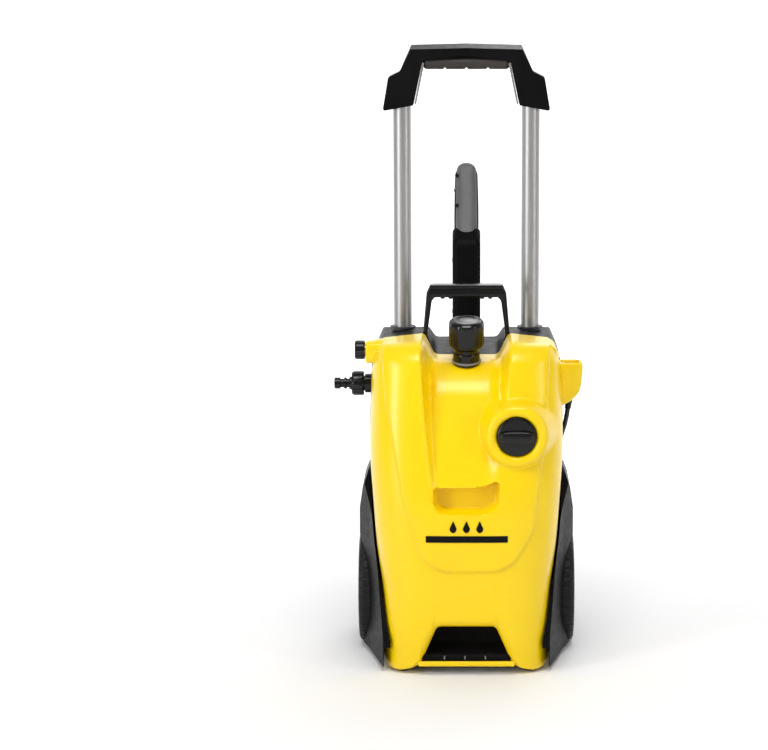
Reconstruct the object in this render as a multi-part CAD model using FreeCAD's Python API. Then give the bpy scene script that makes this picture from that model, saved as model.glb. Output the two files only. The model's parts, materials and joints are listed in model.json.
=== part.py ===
"""Compact upright pressure washer, with its trigger gun and two lances in their holders.

Frame: +Z up, -Y is the front, +X is the right side seen from the front.  The origin is on the floor,
on the mid-plane, 120 mm behind the centres of the front foot pads.  All sizes are in millimetres.
"""
import FreeCAD, Part
import math
import os

V = FreeCAD.Vector
X, Y, Z = V(1, 0, 0), V(0, 1, 0), V(0, 0, 1)

# ---------------------------------------------------------------- driving dimensions
WALL = 3.0                  # moulded wall of the housings
GAP = 0.5                   # clearance between separate mouldings
SEAM_Y = -15.0              # plane where the yellow cover meets the black shell
REAR_Y = 165.0              # back of the black shell
TOP_Z = 453.0               # top of the shoulders

# height, half width and front of the yellow cover; the last value is how square its corner is
COVER_LEVELS = (
    (4.0, 115.0, -150.0, 5.0),
    (55.0, 117.0, -156.0, 4.6),
    (110.0, 118.5, -158.0, 4.2),
    (170.0, 125.0, -158.0, 4.0),
    (230.0, 129.5, -156.0, 4.0),
    (300.0, 133.5, -147.0, 4.0),
    (370.0, 132.0, -133.0, 4.0),
    (425.0, 130.0, -117.0, 3.8),
    (460.0, 129.0, -104.0, 3.8),
)
SHELL_PROUD = 1.2           # the black shell stands this much outside the yellow cover
SHELL_BOTTOM = 34.0
SADDLE_Z = 423.0            # floor of the dip between the shoulders
SADDLE_HALF = 44.0
SHOULDER_IN = 58.0          # inner top corner of each shoulder
SHOULDER_OUT = 118.0

PANEL_PROUD = 3.0           # raised shield on the front of the cover
CHANNEL_TOP = (-59.0, 51.0)
CHANNEL_MID = (-53.0, 47.0)
CHANNEL_LOW = (-45.0, 45.0)
POCKET_Z = (226.0, 262.0)

KNOB_X, KNOB_Z = 68.0, 332.0
KNOB_R = 27.5
BOSS_R = 42.0
BOSS_FACE_Y = -154.0

NOTCH_TOP_Z, NOTCH_TOP_HALF, NOTCH_LOW_HALF = 68.0, 40.0, 70.0

AXLE_Y, AXLE_Z, AXLE_R = 40.0, 80.0, 8.0
FOOT = (88.0, -120.0)       # centre of the right front foot pad
WHEEL_IN = 124.0            # inner face of the right wheel
WELL_R = 85.0
RUN_FIT = 0.05              # radial clearance of a running fit

TUBE_X, TUBE_Y, TUBE_R = 90.0, 60.0, 12.5
TUBE_Z = (392.0, 800.0)
GUIDE_Z = (90.0, 440.0)
GRIP_Y = (43.0, 77.0)

MOTOR_Y, MOTOR_R = 18.0, 58.0
SHAFT_R = 7.0

OUTLET_Y, OUTLET_Z = -38.0, 433.0
INLET_Y, INLET_Z = 10.0, 378.0

GUN_Y = 197.0               # axis of the stored gun's barrel
LANCE_X, LANCE_Y = 76.0, 197.0
LANCE_Z = (22.0, 425.0)

CABLE_R = 3.5
COIL_C = (14.0, 268.5)      # centre of the coil on the floor
COIL_MEAN_R, COIL_HALF_W, COIL_H = 42.0, 17.5, 28.0
PLUG_TURN = 120.0           # angle round the coil at which its last turn leaves for the plug
PLUG_AXIS_Z = 19.5

# The cable's route: out of the relief under the hook, down and back along the side, round the
# rear corner, down behind the shell and along the floor to the coil.
CABLE_ROUTE = (
    (142.6, 12.0, 342.0),
    (140.4, 14.0, 324.0),
    (134.6, 22.0, 304.0),
    (131.8, 42.0, 288.0),
    (131.4, 75.0, 279.0),
    (131.5, 112.0, 273.0),
    (130.0, 145.0, 262.0),
    (125.0, 174.0, 240.0),
    (119.0, 193.0, 204.0),
    (116.0, 205.0, 160.0),
    (114.0, 216.0, 118.0),
    (112.0, 225.0, 82.0),
    (108.0, 239.0, 49.0),
    (101.5, 257.0, 22.5),
    (93.0, 275.0, 8.8),
    (81.0, 290.5, 3.8),
    (69.0, 302.5, 3.7),
    (58.5, 311.0, 3.7),
)
CLIP_POINT = 5              # the clip on the shell holds the cable at this point of its route
BAY = ((2.0, 352.0, 10.0), (2.0, 268.0, 10.0), (175.0, 245.0, 0.0), (175.0, 300.0, 0.0), (60.0, 352.0, 40.0))
BAY_X = 125.0               # floor of the shallow bay in the shell's side that the cable lies in
SCREWS = ((-45.0, 400.0), (45.0, 400.0), (-60.0, 150.0), (60.0, 150.0))
SCREW_R = 2.0


# ---------------------------------------------------------------- shape helpers
def place(plane, a, b, depth):
    """Point of a drawing plane: 'xz' seen from the front, 'xy' from above, 'yz' from the side."""
    return {"xz": V(a, depth, b), "xy": V(a, b, depth), "yz": V(depth, a, b)}[plane]


def outline(plane, points, depth=0.0):
    """Closed wire through (a, b, corner radius) points, with each corner rounded by its arc."""
    ends = []
    count = len(points)
    for i, (a, b, radius) in enumerate(points):
        here = V(a, b, 0)
        before = (V(points[i - 1][0], points[i - 1][1], 0) - here).normalize()
        after = (V(points[(i + 1) % count][0], points[(i + 1) % count][1], 0) - here).normalize()
        if radius <= 0:
            ends.append((here, here, here))
            continue
        half = before.getAngle(after) / 2
        reach = radius / math.tan(half)
        centre = here + (before + after).normalize() * (radius / math.sin(half))
        middle = centre + (here - centre).normalize() * radius
        ends.append((here + before * reach, middle, here + after * reach))
    edges = []
    for i, (start, middle, stop) in enumerate(ends):
        p, q, r = (place(plane, v.x, v.y, depth) for v in (start, middle, stop))
        if (p - r).Length > 1e-6:
            edges.append(Part.Arc(p, q, r).toShape())
        nxt = ends[(i + 1) % count][0]
        if (stop - nxt).Length > 1e-6:
            edges.append(Part.LineSegment(r, place(plane, nxt.x, nxt.y, depth)).toShape())
    return Part.Wire(edges)


def prism(plane, points, low, high, inset=0.0):
    """Solid between two depths of a drawing plane, its outline drawn in by inset."""
    face = Part.Face(outline(plane, points, low))
    if inset:
        face = face.makeOffset2D(-inset)
    normal = {"xz": Y, "xy": Z, "yz": X}[plane]
    return face.extrude(normal * (high - low))


def box(x0, x1, y0, y1, z0, z1):
    return Part.makeBox(x1 - x0, y1 - y0, z1 - z0, V(x0, y0, z0))


def rod(radius, start, end):
    """Cylinder from one point to another."""
    a, b = V(*start), V(*end)
    return Part.makeCylinder(radius, (b - a).Length, a, b - a)


def ring(outer, inner, start, end):
    return rod(outer, start, end).cut(rod(inner, start, end))


def turned(profile, base, axis):
    """Solid of revolution: profile is (radius, height along the axis) points, closed by itself."""
    wire = Part.makePolygon([V(r, 0, h) for r, h in profile] + [V(profile[0][0], 0, profile[0][1])])
    solid = Part.Face(wire).revolve(V(0, 0, 0), Z, 360)
    solid.Placement = FreeCAD.Placement(V(*base), FreeCAD.Rotation(Z, V(*axis)))
    return solid


def mirror(shape):
    """The same shape on the other side of the mid-plane."""
    return shape.mirror(V(0, 0, 0), X)


def both_sides(shape):
    return Part.makeCompound([shape, mirror(shape)])


def joined(shapes):
    result = shapes[0].multiFuse(shapes[1:]) if len(shapes) > 1 else shapes[0]
    return result.removeSplitter()


def rounded(shape, radius, wanted):
    """Fillet the edges that a test picks."""
    return shape.makeFillet(radius, [edge for edge in shape.Edges if wanted(edge)])


def along(axis):
    """Test for straight edges that run along one axis."""
    def test(edge):
        ends = [v.Point for v in edge.Vertexes]
        return len(ends) == 2 and abs((ends[1] - ends[0]).normalize() * axis) > 0.999
    return test


def save(node, shape):
    """Write one node; check that it is sound."""
    if not shape.isValid() or not shape.Solids:
        print("UNSOUND", node)
    if len(shape.Solids) == 1:
        shape = shape.Solids[0]
    else:
        shape = Part.makeCompound(shape.Solids)
    shape.exportStep("parts/" + node + ".step")


# ---------------------------------------------------------------- housings
def bowed_section(z, half, y_from, y_to, power, count=16):
    """Half of a rounded box seen from above, closed by a straight edge at y_from."""
    points = []
    for i in range(count + 1):
        turn = math.pi * i / count
        across, along_y = math.cos(turn), math.sin(turn)
        x = math.copysign(abs(across) ** (2 / power), across) * half
        y = y_from + (y_to - y_from) * max(along_y, 0.0) ** (2 / power)
        points.append(V(x, y, z))
    curve = Part.BSplineCurve()
    curve.interpolate(points)
    return Part.Wire([curve.toShape(), Part.LineSegment(points[-1], points[0]).toShape()])


def cover_solid(inset):
    """The yellow cover's outside, drawn in by inset (a negative inset makes it larger)."""
    wires = [bowed_section(z, half - inset, SEAM_Y, front + inset, power)
             for z, half, front, power in COVER_LEVELS]
    return Part.makeLoft(wires, True, False)


def shell_solid(inset):
    """The black shell's outside: the cover's width carried back to its own rounded rear."""
    wires = [bowed_section(z, half + SHELL_PROUD - inset, SEAM_Y, REAR_Y - inset, 4.4)
             for z, half, _, _ in COVER_LEVELS]
    return Part.makeLoft(wires, True, False)


def top_profile(drop):
    """Front view of the shoulders and the saddle between them, lowered by drop."""
    right = ((SADDLE_HALF, SADDLE_Z - drop, 8.0), (SHOULDER_IN, TOP_Z - drop, 5.0),
             (SHOULDER_OUT, 445.0 - drop, 10.0), (129.0 - drop, 424.0 - drop, 8.0),
             (145.0, 380.0, 0.0), (165.0, -5.0, 0.0))
    left = tuple((-x, z, r) for x, z, r in reversed(right))
    return right + left


def channel_tool(grow):
    """Cutter for the valley that runs down the cover from the saddle, and the pocket under it."""
    levels = ((470.0, CHANNEL_TOP, -84.0), (410.0, CHANNEL_TOP, -98.0), (330.0, CHANNEL_MID, -130.0),
              (POCKET_Z[1] + 4, CHANNEL_LOW, -156.0))
    wires = []
    for z, (x0, x1), y in levels:
        wires.append(outline("xy", ((x0 - grow, -200.0, 0.0), (x1 + grow, -200.0, 0.0),
                                    (x1 + grow, y + grow, 12.0), (x0 - grow, y + grow, 12.0)), z))
    valley = Part.makeLoft(wires, True, True)
    pocket = prism("xz", ((CHANNEL_LOW[0] - grow, POCKET_Z[0] - grow, 24.0),
                          (CHANNEL_LOW[1] + grow, POCKET_Z[0] - grow, 24.0),
                          (CHANNEL_LOW[1] + grow, POCKET_Z[1] + grow, 3.0),
                          (CHANNEL_LOW[0] - grow, POCKET_Z[1] + grow, 3.0)), -200.0, -134.0 + grow)
    return valley, pocket


def notch_tool(grow):
    return prism("xz", ((-NOTCH_LOW_HALF - grow, -10.0, 0.0), (NOTCH_LOW_HALF + grow, -10.0, 0.0),
                        (NOTCH_TOP_HALF + grow, NOTCH_TOP_Z + grow, 9.0),
                        (-NOTCH_TOP_HALF - grow, NOTCH_TOP_Z + grow, 9.0)), -200.0, -90.0)


PANEL = ((-118.0, 470.0, 0.0), (-112.0, 382.0, 60.0), (-87.0, 245.0, 60.0), (-60.0, 160.0, 26.0),
         (-30.0, 145.0, 40.0), (44.0, 146.0, 30.0), (66.0, 158.0, 26.0), (92.0, 200.0, 60.0),
         (108.0, 330.0, 60.0), (116.0, 470.0, 0.0))


def front_housing():
    """Yellow front cover with its raised panel, valley, pocket, switch boss, stub and cable hook."""
    top = prism("xz", top_profile(0.0), -200.0, 0.0)
    raised = cover_solid(-PANEL_PROUD).common(prism("xz", PANEL, -200.0, SEAM_Y - 40))
    outside = cover_solid(0.0).fuse(raised)
    valley, pocket = channel_tool(0.0)
    boss = turned(((0, 0), (BOSS_R - 1, 0), (BOSS_R - 1, 42), (BOSS_R - 5, 48), (BOSS_R - 10, 48), (0, 48)),
                  (KNOB_X, BOSS_FACE_Y + 48, KNOB_Z), (0, -1, 0))
    outside = outside.cut(valley).cut(pocket).fuse(boss).common(top)
    valley_in, pocket_in = channel_tool(WALL)
    inside = cover_solid(WALL).common(prism("xz", top_profile(WALL), -200.0, 0.0))
    inside = inside.cut(valley_in).cut(pocket_in)
    inside = inside.fuse(rod(14.0, (KNOB_X, -150, KNOB_Z), (KNOB_X, -100, KNOB_Z)))
    open_back = box(-112, 112, SEAM_Y - 2, SEAM_Y + 1, -5, 436)
    seat = rod(KNOB_R + 1, (KNOB_X, -170, KNOB_Z), (KNOB_X, BOSS_FACE_Y + 14, KNOB_Z))
    shell = outside.cut(inside).cut(seat).cut(notch_tool(0.0))
    shell = shell.cut(box(-110, 110, -147, SEAM_Y + 1, -5, 5.0)).cut(open_back.common(inside))

    stub = rounded(box(-139.0, -112.0, -54.0, -22.0, 417.0, 447.0), 6.0, along(X))
    hook_points = ((118.0, 352.0, 0.0), (128.0, 356.0, 6.0), (156.0, 372.0, 14.0), (161.5, 414.0, 8.0),
                   (126.0, 415.0, 0.0), (118.0, 415.0, 0.0))
    hook = prism("xz", hook_points, -52.0, -16.0)
    hook = hook.cut(box(130.0, 154.5, -46.0, -22.0, 381.0, 420.0))
    core = cover_solid(WALL)
    bar = box(-66.0, 66.0, -151.0, -147.5, 12.5, 19.5)
    body = joined([shell, stub.cut(core), hook.cut(core), bar])
    return body.cut(rod(9.3, (-141, OUTLET_Y, OUTLET_Z), (-100, OUTLET_Y, OUTLET_Z)))


def fender_solid(inset):
    """Haunch over the right wheel and the skirt that runs forward from it; the inset one is open below."""
    low = -6.0 if inset else 8.0
    from_front = ((100.0, 262.0, 0.0), (130.0, 262.0, 4.0), (138.0, 256.0, 10.0), (146.0, 232.0, 20.0),
                  (151.5, 196.0, 20.0), (151.5, low, 0.0), (113.5, low, 0.0), (113.5, 35.0, 0.0),
                  (100.0, 35.0, 0.0))
    from_above = ((90.0, -139.0, 0.0), (114.0, -139.0, 4.0), (135.0, -45.0, 60.0), (151.5, 14.0, 60.0),
                  (151.5, 128.0, 14.0), (140.0, 152.0, 14.0), (90.0, 152.0, 0.0))
    from_side = ((-139.0, low, 0.0), (-139.0, 46.0, 20.0), (-104.0, 130.0, 60.0), (-62.0, 204.0, 50.0),
                 (0.0, 252.0, 60.0), (40.0, 262.0, 60.0), (92.0, 252.0, 60.0), (146.0, 204.0, 30.0),
                 (152.0, 110.0, 20.0), (152.0, 46.0, 6.0), (60.0, low, 0.0))
    block = prism("xz", from_front, -160.0, 160.0, inset)
    block = block.common(prism("xy", from_above, -20.0, 300.0, inset))
    return block.common(prism("yz", from_side, 80.0, 170.0, inset))


def wheel_well(radius, x_in):
    return rod(radius, (x_in, AXLE_Y, AXLE_Z), (170.0, AXLE_Y, AXLE_Z))


def shell_half(with_bay):
    """Right half of the black shell: hollow, open towards the cover, with a haunch over the wheel."""
    slope = ((-16.0, 452.0, 0.0), (70.0, 449.0, 30.0), (120.0, 441.0, 40.0), (170.0, 414.0, 0.0),
             (170.0, SHELL_BOTTOM, 0.0), (-16.0, SHELL_BOTTOM, 0.0))
    under = ((-16.0, 449.0, 0.0), (70.0, 446.0, 30.0), (120.0, 438.0, 40.0), (166.0, 411.0, 0.0),
             (166.0, 20.0, 0.0), (-16.0, 20.0, 0.0))
    top = prism("xz", top_profile(1.0), -20.0, 170.0).common(prism("yz", slope, 0.0, 170.0))
    top_in = prism("xz", top_profile(1.0 + WALL), -20.0, 170.0).common(prism("yz", under, -5.0, 170.0))
    clearance = GAP + PANEL_PROUD
    outside = shell_solid(0.0).common(top).fuse(fender_solid(0.0).cut(cover_solid(-clearance)))
    hollow = fender_solid(WALL).cut(cover_solid(-clearance - WALL)).cut(wheel_well(WELL_R + WALL, 120.0 - WALL))
    hollow = max(hollow.Solids, key=lambda solid: solid.Volume)
    inside = shell_solid(WALL).common(top_in).fuse(hollow)
    outside = outside.cut(wheel_well(WELL_R, 120.0))
    inside = inside.cut(wheel_well(WELL_R + WALL, 120.0 - WALL))
    if with_bay:
        outside = outside.cut(prism("yz", BAY, BAY_X, 160.0))
        inside = inside.cut(prism("yz", BAY, BAY_X - WALL, 160.0))
    half = outside.cut(inside)
    collar = rod(TUBE_R + 6, (TUBE_X, TUBE_Y, GUIDE_Z[1] - 44), (TUBE_X, TUBE_Y, 443))
    half = half.fuse(collar)
    half = half.cut(rod(TUBE_R + 3.0, (TUBE_X, TUBE_Y, 60), (TUBE_X, TUBE_Y, 470)))
    half = half.cut(rod(AXLE_R + 2, (100, AXLE_Y, AXLE_Z), (130, AXLE_Y, AXLE_Z)))
    return half.cut(box(52, 60.5, -11.5, 11.5, 430, 460))


def rear_housing():
    """Black rear shell, with the water port on the left and the cable's bay and clip on the right."""
    right, left = shell_half(True), mirror(shell_half(False))
    clip = ring(CABLE_R + 4.5, CABLE_R + 1.8, (0, -4, 0), (0, 4, 0))
    clip.translate(V(*CABLE_ROUTE[CLIP_POINT]))
    body = right.fuse(left).fuse(clip.common(box(BAY_X - 1, 170, 0, 170, 200, 300)))
    for x, z in SCREWS:
        body = body.cut(rod(SCREW_R + RUN_FIT, (x, REAR_Y - 10, z), (x, REAR_Y + 5, z)))
    return body.cut(rod(14.0, (-145, INLET_Y, INLET_Z), (-115, INLET_Y, INLET_Z))).removeSplitter()


def chassis_base():
    """Tray under the machine: carries the motor feet, the axle and the front feet."""
    plan = ((-86.0, -131.0, 10.0), (86.0, -131.0, 10.0), (102.0, -112.0, 20.0), (110.0, -60.0, 40.0),
            (112.0, -15.0, 0.0), (112.0, 156.0, 14.0), (-112.0, 156.0, 14.0), (-112.0, -15.0, 0.0),
            (-110.0, -60.0, 40.0), (-102.0, -112.0, 20.0))
    tray = prism("xy", plan, 12.0, 33.5)
    tray = tray.cut(prism("xy", plan, 16.0, 40.0, 4.0))
    feet = [rod(11.0, (side * FOOT[0], FOOT[1], 5.0), (side * FOOT[0], FOOT[1], 33.5)) for side in (-1, 1)]
    posts = [rod(9.0, (x, MOTOR_Y + y, 15.0), (x, MOTOR_Y + y, 92.0)) for x in (-44, 44) for y in (-44, 44)]
    blocks = [box(x, x + 20, AXLE_Y - 18, AXLE_Y + 18, 15, 96) for x in (-112, 92)]
    base = joined([tray] + feet + posts + blocks)
    base = base.cut(rod(AXLE_R + 0.02, (-120, AXLE_Y, AXLE_Z), (120, AXLE_Y, AXLE_Z)))
    for side in (-1, 1):
        base = base.cut(rod(TUBE_R + 3.5, (side * TUBE_X, TUBE_Y, 70), (side * TUBE_X, TUBE_Y, 120)))
    return base.cut(box(-75, 75, -140, -103, 19, 90))


def lower_grip():
    """Scoop and lip behind the notch in the cover, for lifting the machine by its front edge."""
    side = ((-146.0, 21.0, 2.0), (-146.0, 28.0, 2.0), (-138.0, 28.0, 0.0), (-112.0, 37.0, 10.0),
            (-118.0, 62.0, 10.0), (-142.0, 72.0, 1.0), (-140.0, 76.0, 1.0), (-108.0, 76.0, 4.0),
            (-104.0, 42.0, 10.0), (-108.0, 21.0, 2.0))
    scoop = prism("yz", side, -74.0, 74.0)
    ends = [box(x, x + 3.0, -141.0, -108.0, 21.5, 71.0) for x in (-73.5, 70.5)]
    return joined([scoop] + ends)


def front_foot_pads():
    pad = turned(((0, 0), (8, 0), (9, 1), (9, 4.9), (0, 4.9)), (FOOT[0], FOOT[1], 0), (0, 0, 1))
    return both_sides(pad)


def carry_handle():
    """Fixed handle: two thin legs and a bar, standing on the front edge of the black shell."""
    frame = prism("xz", ((-60.0, 434.0, 0.0), (-53.5, 434.0, 0.0), (-53.5, 456.0, 6.0), (-48.0, 497.0, 7.0),
                         (-44.0, 501.6, 3.0), (44.0, 501.6, 3.0), (48.0, 497.0, 7.0), (53.5, 456.0, 6.0),
                         (53.5, 434.0, 0.0), (60.0, 434.0, 0.0), (60.0, 456.0, 6.0), (55.5, 508.0, 8.0),
                         (50.0, 519.5, 8.0), (-50.0, 519.5, 8.0), (-55.5, 508.0, 8.0), (-60.0, 456.0, 6.0)),
                  -11.0, 11.0)
    return rounded(frame, 2.2, lambda e: e.BoundBox.YLength < 0.01 and e.BoundBox.ZMin > 440)


def hose_hook():
    """Bollard on the saddle that the coiled high-pressure hose hangs from, leaning forwards."""
    lean = (0.0, -math.sin(math.radians(12)), math.cos(math.radians(12)))
    profile = ((0, 0), (17, 0), (17, 12), (20, 14), (23, 15), (24, 17), (24, 44), (22, 49), (17, 52), (0, 52))
    return turned(profile, (0, -66.0, 431.0), lean)


def hook_collar():
    """Foot of the bollard, seated on the saddle."""
    lean = (0.0, -math.sin(math.radians(12)), math.cos(math.radians(12)))
    foot = turned(((17.2, -18), (21.5, -18), (21.5, 6), (20, 8), (17.2, 8)), (0, -66.0, 431.0), lean)
    plug = turned(((0, -18), (17.2, -18), (17.2, -1), (0, -1)), (0, -66.0, 431.0), lean)
    return joined([foot, plug]).common(box(-40, 40, -110, -30, SADDLE_Z + 0.1, 470))


def on_panel(points, thick):
    """Thin print that follows the raised panel: a front-view outline laid on its surface."""
    skin = cover_solid(-PANEL_PROUD - thick).cut(cover_solid(-PANEL_PROUD))
    return skin.common(prism("xz", points, -200.0, -100.0))


def front_stripe():
    """Plain bar and three drops printed on the panel."""
    bar = on_panel(((-55.0, 188.5, 0.5), (56.0, 188.5, 0.5), (56.0, 197.5, 0.5), (-55.0, 197.5, 0.5)), 0.5)
    marks = [bar]
    for x in (-18.0, 0.0, 18.0):
        drop = ((x - 5.5, 206.0, 4.0), (x, 201.0, 3.0), (x + 5.5, 206.0, 4.0), (x, 218.0, 0.5))
        marks.append(on_panel(drop, 0.5))
    return Part.makeCompound([solid for mark in marks for solid in mark.Solids])


# ---------------------------------------------------------------- switch
def switch_knob():
    """Rotary main switch knob with a finger bar across its face."""
    face = BOSS_FACE_Y + 1.0
    disc = turned(((0, 0), (KNOB_R, 0), (KNOB_R, 10), (KNOB_R - 2, 12), (0, 12)),
                  (KNOB_X, face + 12, KNOB_Z), (0, -1, 0))
    bar = prism("xz", ((KNOB_X - 24, KNOB_Z - 9, 6.0), (KNOB_X + 24, KNOB_Z - 9, 6.0),
                       (KNOB_X + 24, KNOB_Z + 9, 6.0), (KNOB_X - 24, KNOB_Z + 9, 6.0)), face - 8, face + 1)
    hollow = ring(KNOB_R - 1, 20, (KNOB_X, face - 9, KNOB_Z), (KNOB_X, face - 3, KNOB_Z))
    spindle = rod(6.0, (KNOB_X, face + 11, KNOB_Z), (KNOB_X, face + 52, KNOB_Z))
    return joined([disc, bar.cut(hollow), spindle])


def switch_body():
    """Electric switch block behind the boss, with a bore for the knob's spindle."""
    block = box(KNOB_X - 22, KNOB_X + 22, -118.0, -84.0, KNOB_Z - 20, KNOB_Z + 20)
    neck = rod(13.0, (KNOB_X, -139.5, KNOB_Z), (KNOB_X, -117, KNOB_Z))
    return joined([block, neck]).cut(rod(6.0 + RUN_FIT, (KNOB_X, -145, KNOB_Z), (KNOB_X, -96, KNOB_Z)))


# ---------------------------------------------------------------- water connections
def outlet_connector():
    """High-pressure outlet: a stepped spigot through the cover's stub, with a bore for the hose."""
    axis = (-1, 0, 0)
    body = turned(((0, 0), (9.2, 0), (9.2, 46), (0, 46)), (-104, OUTLET_Y, OUTLET_Z), axis)
    return body.cut(rod(5.0, (-160, OUTLET_Y, OUTLET_Z), (-112, OUTLET_Y, OUTLET_Z)))


def outlet_collar():
    """Ribbed release collar that slides along the outlet."""
    collar = turned(((9.5, 0), (12.5, 0), (13, 2), (13, 12), (12, 14), (9.5, 14)),
                    (-140.0, OUTLET_Y, OUTLET_Z), (-1, 0, 0))
    for i in range(12):
        turn = 2 * math.pi * i / 12
        y, z = OUTLET_Y + 13.2 * math.cos(turn), OUTLET_Z + 13.2 * math.sin(turn)
        collar = collar.cut(rod(1.0, (-156, y, z), (-139, y, z)))
    return collar


def inlet_union():
    """Threaded water inlet on the left side, with the shoulder that seats on the shell."""
    body = turned(((0, 0), (10, 0), (10, 18), (13.5, 18), (13.5, 30), (10.5, 30), (10.5, 42), (0, 42)),
                  (-112, INLET_Y, INLET_Z), (-1, 0, 0))
    return body.cut(rod(7.0, (-160, INLET_Y, INLET_Z), (-118, INLET_Y, INLET_Z)))


def inlet_nut():
    """Ribbed swivel nut that holds the hose adaptor on the inlet."""
    nut = turned(((10.55, 0), (16, 0), (17, 2), (17, 14), (15.5, 17), (9.3, 17), (9.3, 15), (10.55, 15)),
                 (-143.5, INLET_Y, INLET_Z), (-1, 0, 0))
    for i in range(16):
        turn = 2 * math.pi * i / 16
        y, z = INLET_Y + 17.3 * math.cos(turn), INLET_Z + 17.3 * math.sin(turn)
        nut = nut.cut(rod(1.2, (-165, y, z), (-143, y, z)))
    return nut


def inlet_nipple():
    """Plug-in nipple for a garden hose quick coupling, held by the swivel nut."""
    profile = ((4.5, 0), (9.25, 0), (9.25, 9), (8.6, 10), (6.2, 10.5), (6.2, 13), (8.0, 14), (8.0, 17),
               (6.2, 18), (6.2, 22), (8.0, 23), (8.0, 30), (7.0, 31), (4.5, 31))
    return turned(profile, (-154.2, INLET_Y, INLET_Z), (-1, 0, 0))


# ---------------------------------------------------------------- motor and pump
def motor_stator():
    core = ring(MOTOR_R, 34.0, (0, MOTOR_Y, 142), (0, MOTOR_Y, 240))
    return core


def stator_windings():
    """End turns of the winding, a padded ring above and below the laminations."""
    rings = []
    for low in (128.0, 240.2):
        rings.append(turned(((36, low), (50, low), (53, low + 3), (53, low + 10), (50, low + 13.6),
                             (38, low + 13.6), (36, low + 10)), (0, MOTOR_Y, 0), (0, 0, 1)))
    return Part.makeCompound(rings)


def motor_end_shield():
    """Lower end shield with the bearing seat and four feet."""
    cup = turned(((12.1, 104), (20, 104), (20, 110), (58, 110), (62, 114), (62, 141.8), (58.2, 141.8),
                  (58.2, 118), (12.1, 118)), (0, MOTOR_Y, 0), (0, 0, 1))
    feet = [rod(9.0, (x, MOTOR_Y + y, 100), (x, MOTOR_Y + y, 116)) for x in (-44, 44) for y in (-44, 44)]
    return joined([cup] + feet)


def motor_mounts():
    """Rubber blocks between the chassis posts and the motor's feet."""
    pads = [rod(8.5, (x, MOTOR_Y + y, 92.1), (x, MOTOR_Y + y, 99.9)) for x in (-44, 44) for y in (-44, 44)]
    return Part.makeCompound(pads)


def motor_rotor():
    """Squirrel-cage rotor, pressed on its shaft."""
    return ring(33.3, SHAFT_R, (0, MOTOR_Y, 142), (0, MOTOR_Y, 240))


def rotor_shaft():
    return turned(((0, 106), (SHAFT_R - 1, 106), (SHAFT_R, 107), (SHAFT_R, 292), (0, 292)),
                  (0, MOTOR_Y, 0), (0, 0, 1))


def motor_bearings():
    """Lower and upper ball bearings, as plain rings."""
    rings = [ring(12.0, SHAFT_R + RUN_FIT, (0, MOTOR_Y, low), (0, MOTOR_Y, low + 10)) for low in (106, 256)]
    return Part.makeCompound(rings)


def pump_flange():
    """Cast flange on top of the motor that houses the swash plate."""
    return turned(((12.1, 255), (58.2, 255), (58.2, 240.2), (62, 240.2), (62, 262), (46, 266), (46, 322),
                   (40, 322), (40, 270), (12.1, 270)), (0, MOTOR_Y, 0), (0, 0, 1))


def swash_plate():
    """Wobble plate on the shaft: its slanted top drives the three pistons."""
    blank = ring(30.0, SHAFT_R, (0, MOTOR_Y, 274), (0, MOTOR_Y, 300))
    cutter = Part.makeBox(120, 120, 60, V(-60, -60, 0))
    cutter.rotate(V(0, 0, 0), X, 10)
    cutter.translate(V(0, MOTOR_Y, 290))
    return blank.cut(cutter)


def pump_pistons():
    """Three plungers with their spring plates; each stands clear of the plate's highest point."""
    parts = []
    for i in range(3):
        turn = 2 * math.pi * i / 3 + math.pi / 2
        x, y = 19 * math.cos(turn), MOTOR_Y + 19 * math.sin(turn)
        parts.append(turned(((0, 297), (6, 297), (6, 300), (9.5, 300), (9.5, 302), (6, 302), (6, 346), (0, 346)),
                            (x, y, 0), (0, 0, 1)))
    return Part.makeCompound(parts)


def cylinder_head():
    """Pump head with three cylinder bores, valve chamber and the two water ports."""
    head = turned(((0, 322.1), (46, 322.1), (46, 350), (42, 354), (42, 398), (0, 398)), (0, MOTOR_Y, 0), (0, 0, 1))
    for i in range(3):
        turn = 2 * math.pi * i / 3 + math.pi / 2
        x, y = 19 * math.cos(turn), MOTOR_Y + 19 * math.sin(turn)
        head = head.cut(rod(6.02, (x, y, 320), (x, y, 356)))
    arm = rod(10.0, (-30, INLET_Y, INLET_Z), (-72, INLET_Y, INLET_Z))
    tower = box(-46, -20, OUTLET_Y + 16, MOTOR_Y + 2, 384, 408)
    return joined([head, arm, tower])


def pressure_switch():
    """Sensing block on the outlet that stops the motor when the gun shuts."""
    block = rounded(box(-48, -18, OUTLET_Y - 10, OUTLET_Y + 15.9, 386, 411), 3.0, along(Z))
    return joined([block, rod(5, (-33, OUTLET_Y, 380), (-33, OUTLET_Y, 387))])


def water_hoses():
    """Inner suction hose and the high-pressure pipe to the outlet."""
    suction = ring(9.0, 6.0, (-72.1, INLET_Y, INLET_Z), (-111.9, INLET_Y, INLET_Z))
    riser = Part.Wire([Part.LineSegment(V(-48.1, OUTLET_Y, 398), V(-62, OUTLET_Y, 398)).toShape(),
                       Part.Arc(V(-62, OUTLET_Y, 398), V(-74.4, OUTLET_Y, 403.1), V(-79.5, OUTLET_Y, 415.5)).toShape(),
                       Part.Arc(V(-79.5, OUTLET_Y, 415.5), V(-84.6, OUTLET_Y, 427.9), V(-97, OUTLET_Y, 433)).toShape(),
                       Part.LineSegment(V(-97, OUTLET_Y, 433), V(-103.9, OUTLET_Y, 433)).toShape()])
    ends = Part.Wire(Part.Circle(V(-48.1, OUTLET_Y, 398), X, 5.0).toShape())
    pipe = riser.makePipeShell([ends], True, True)
    return Part.makeCompound([suction, pipe])


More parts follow.
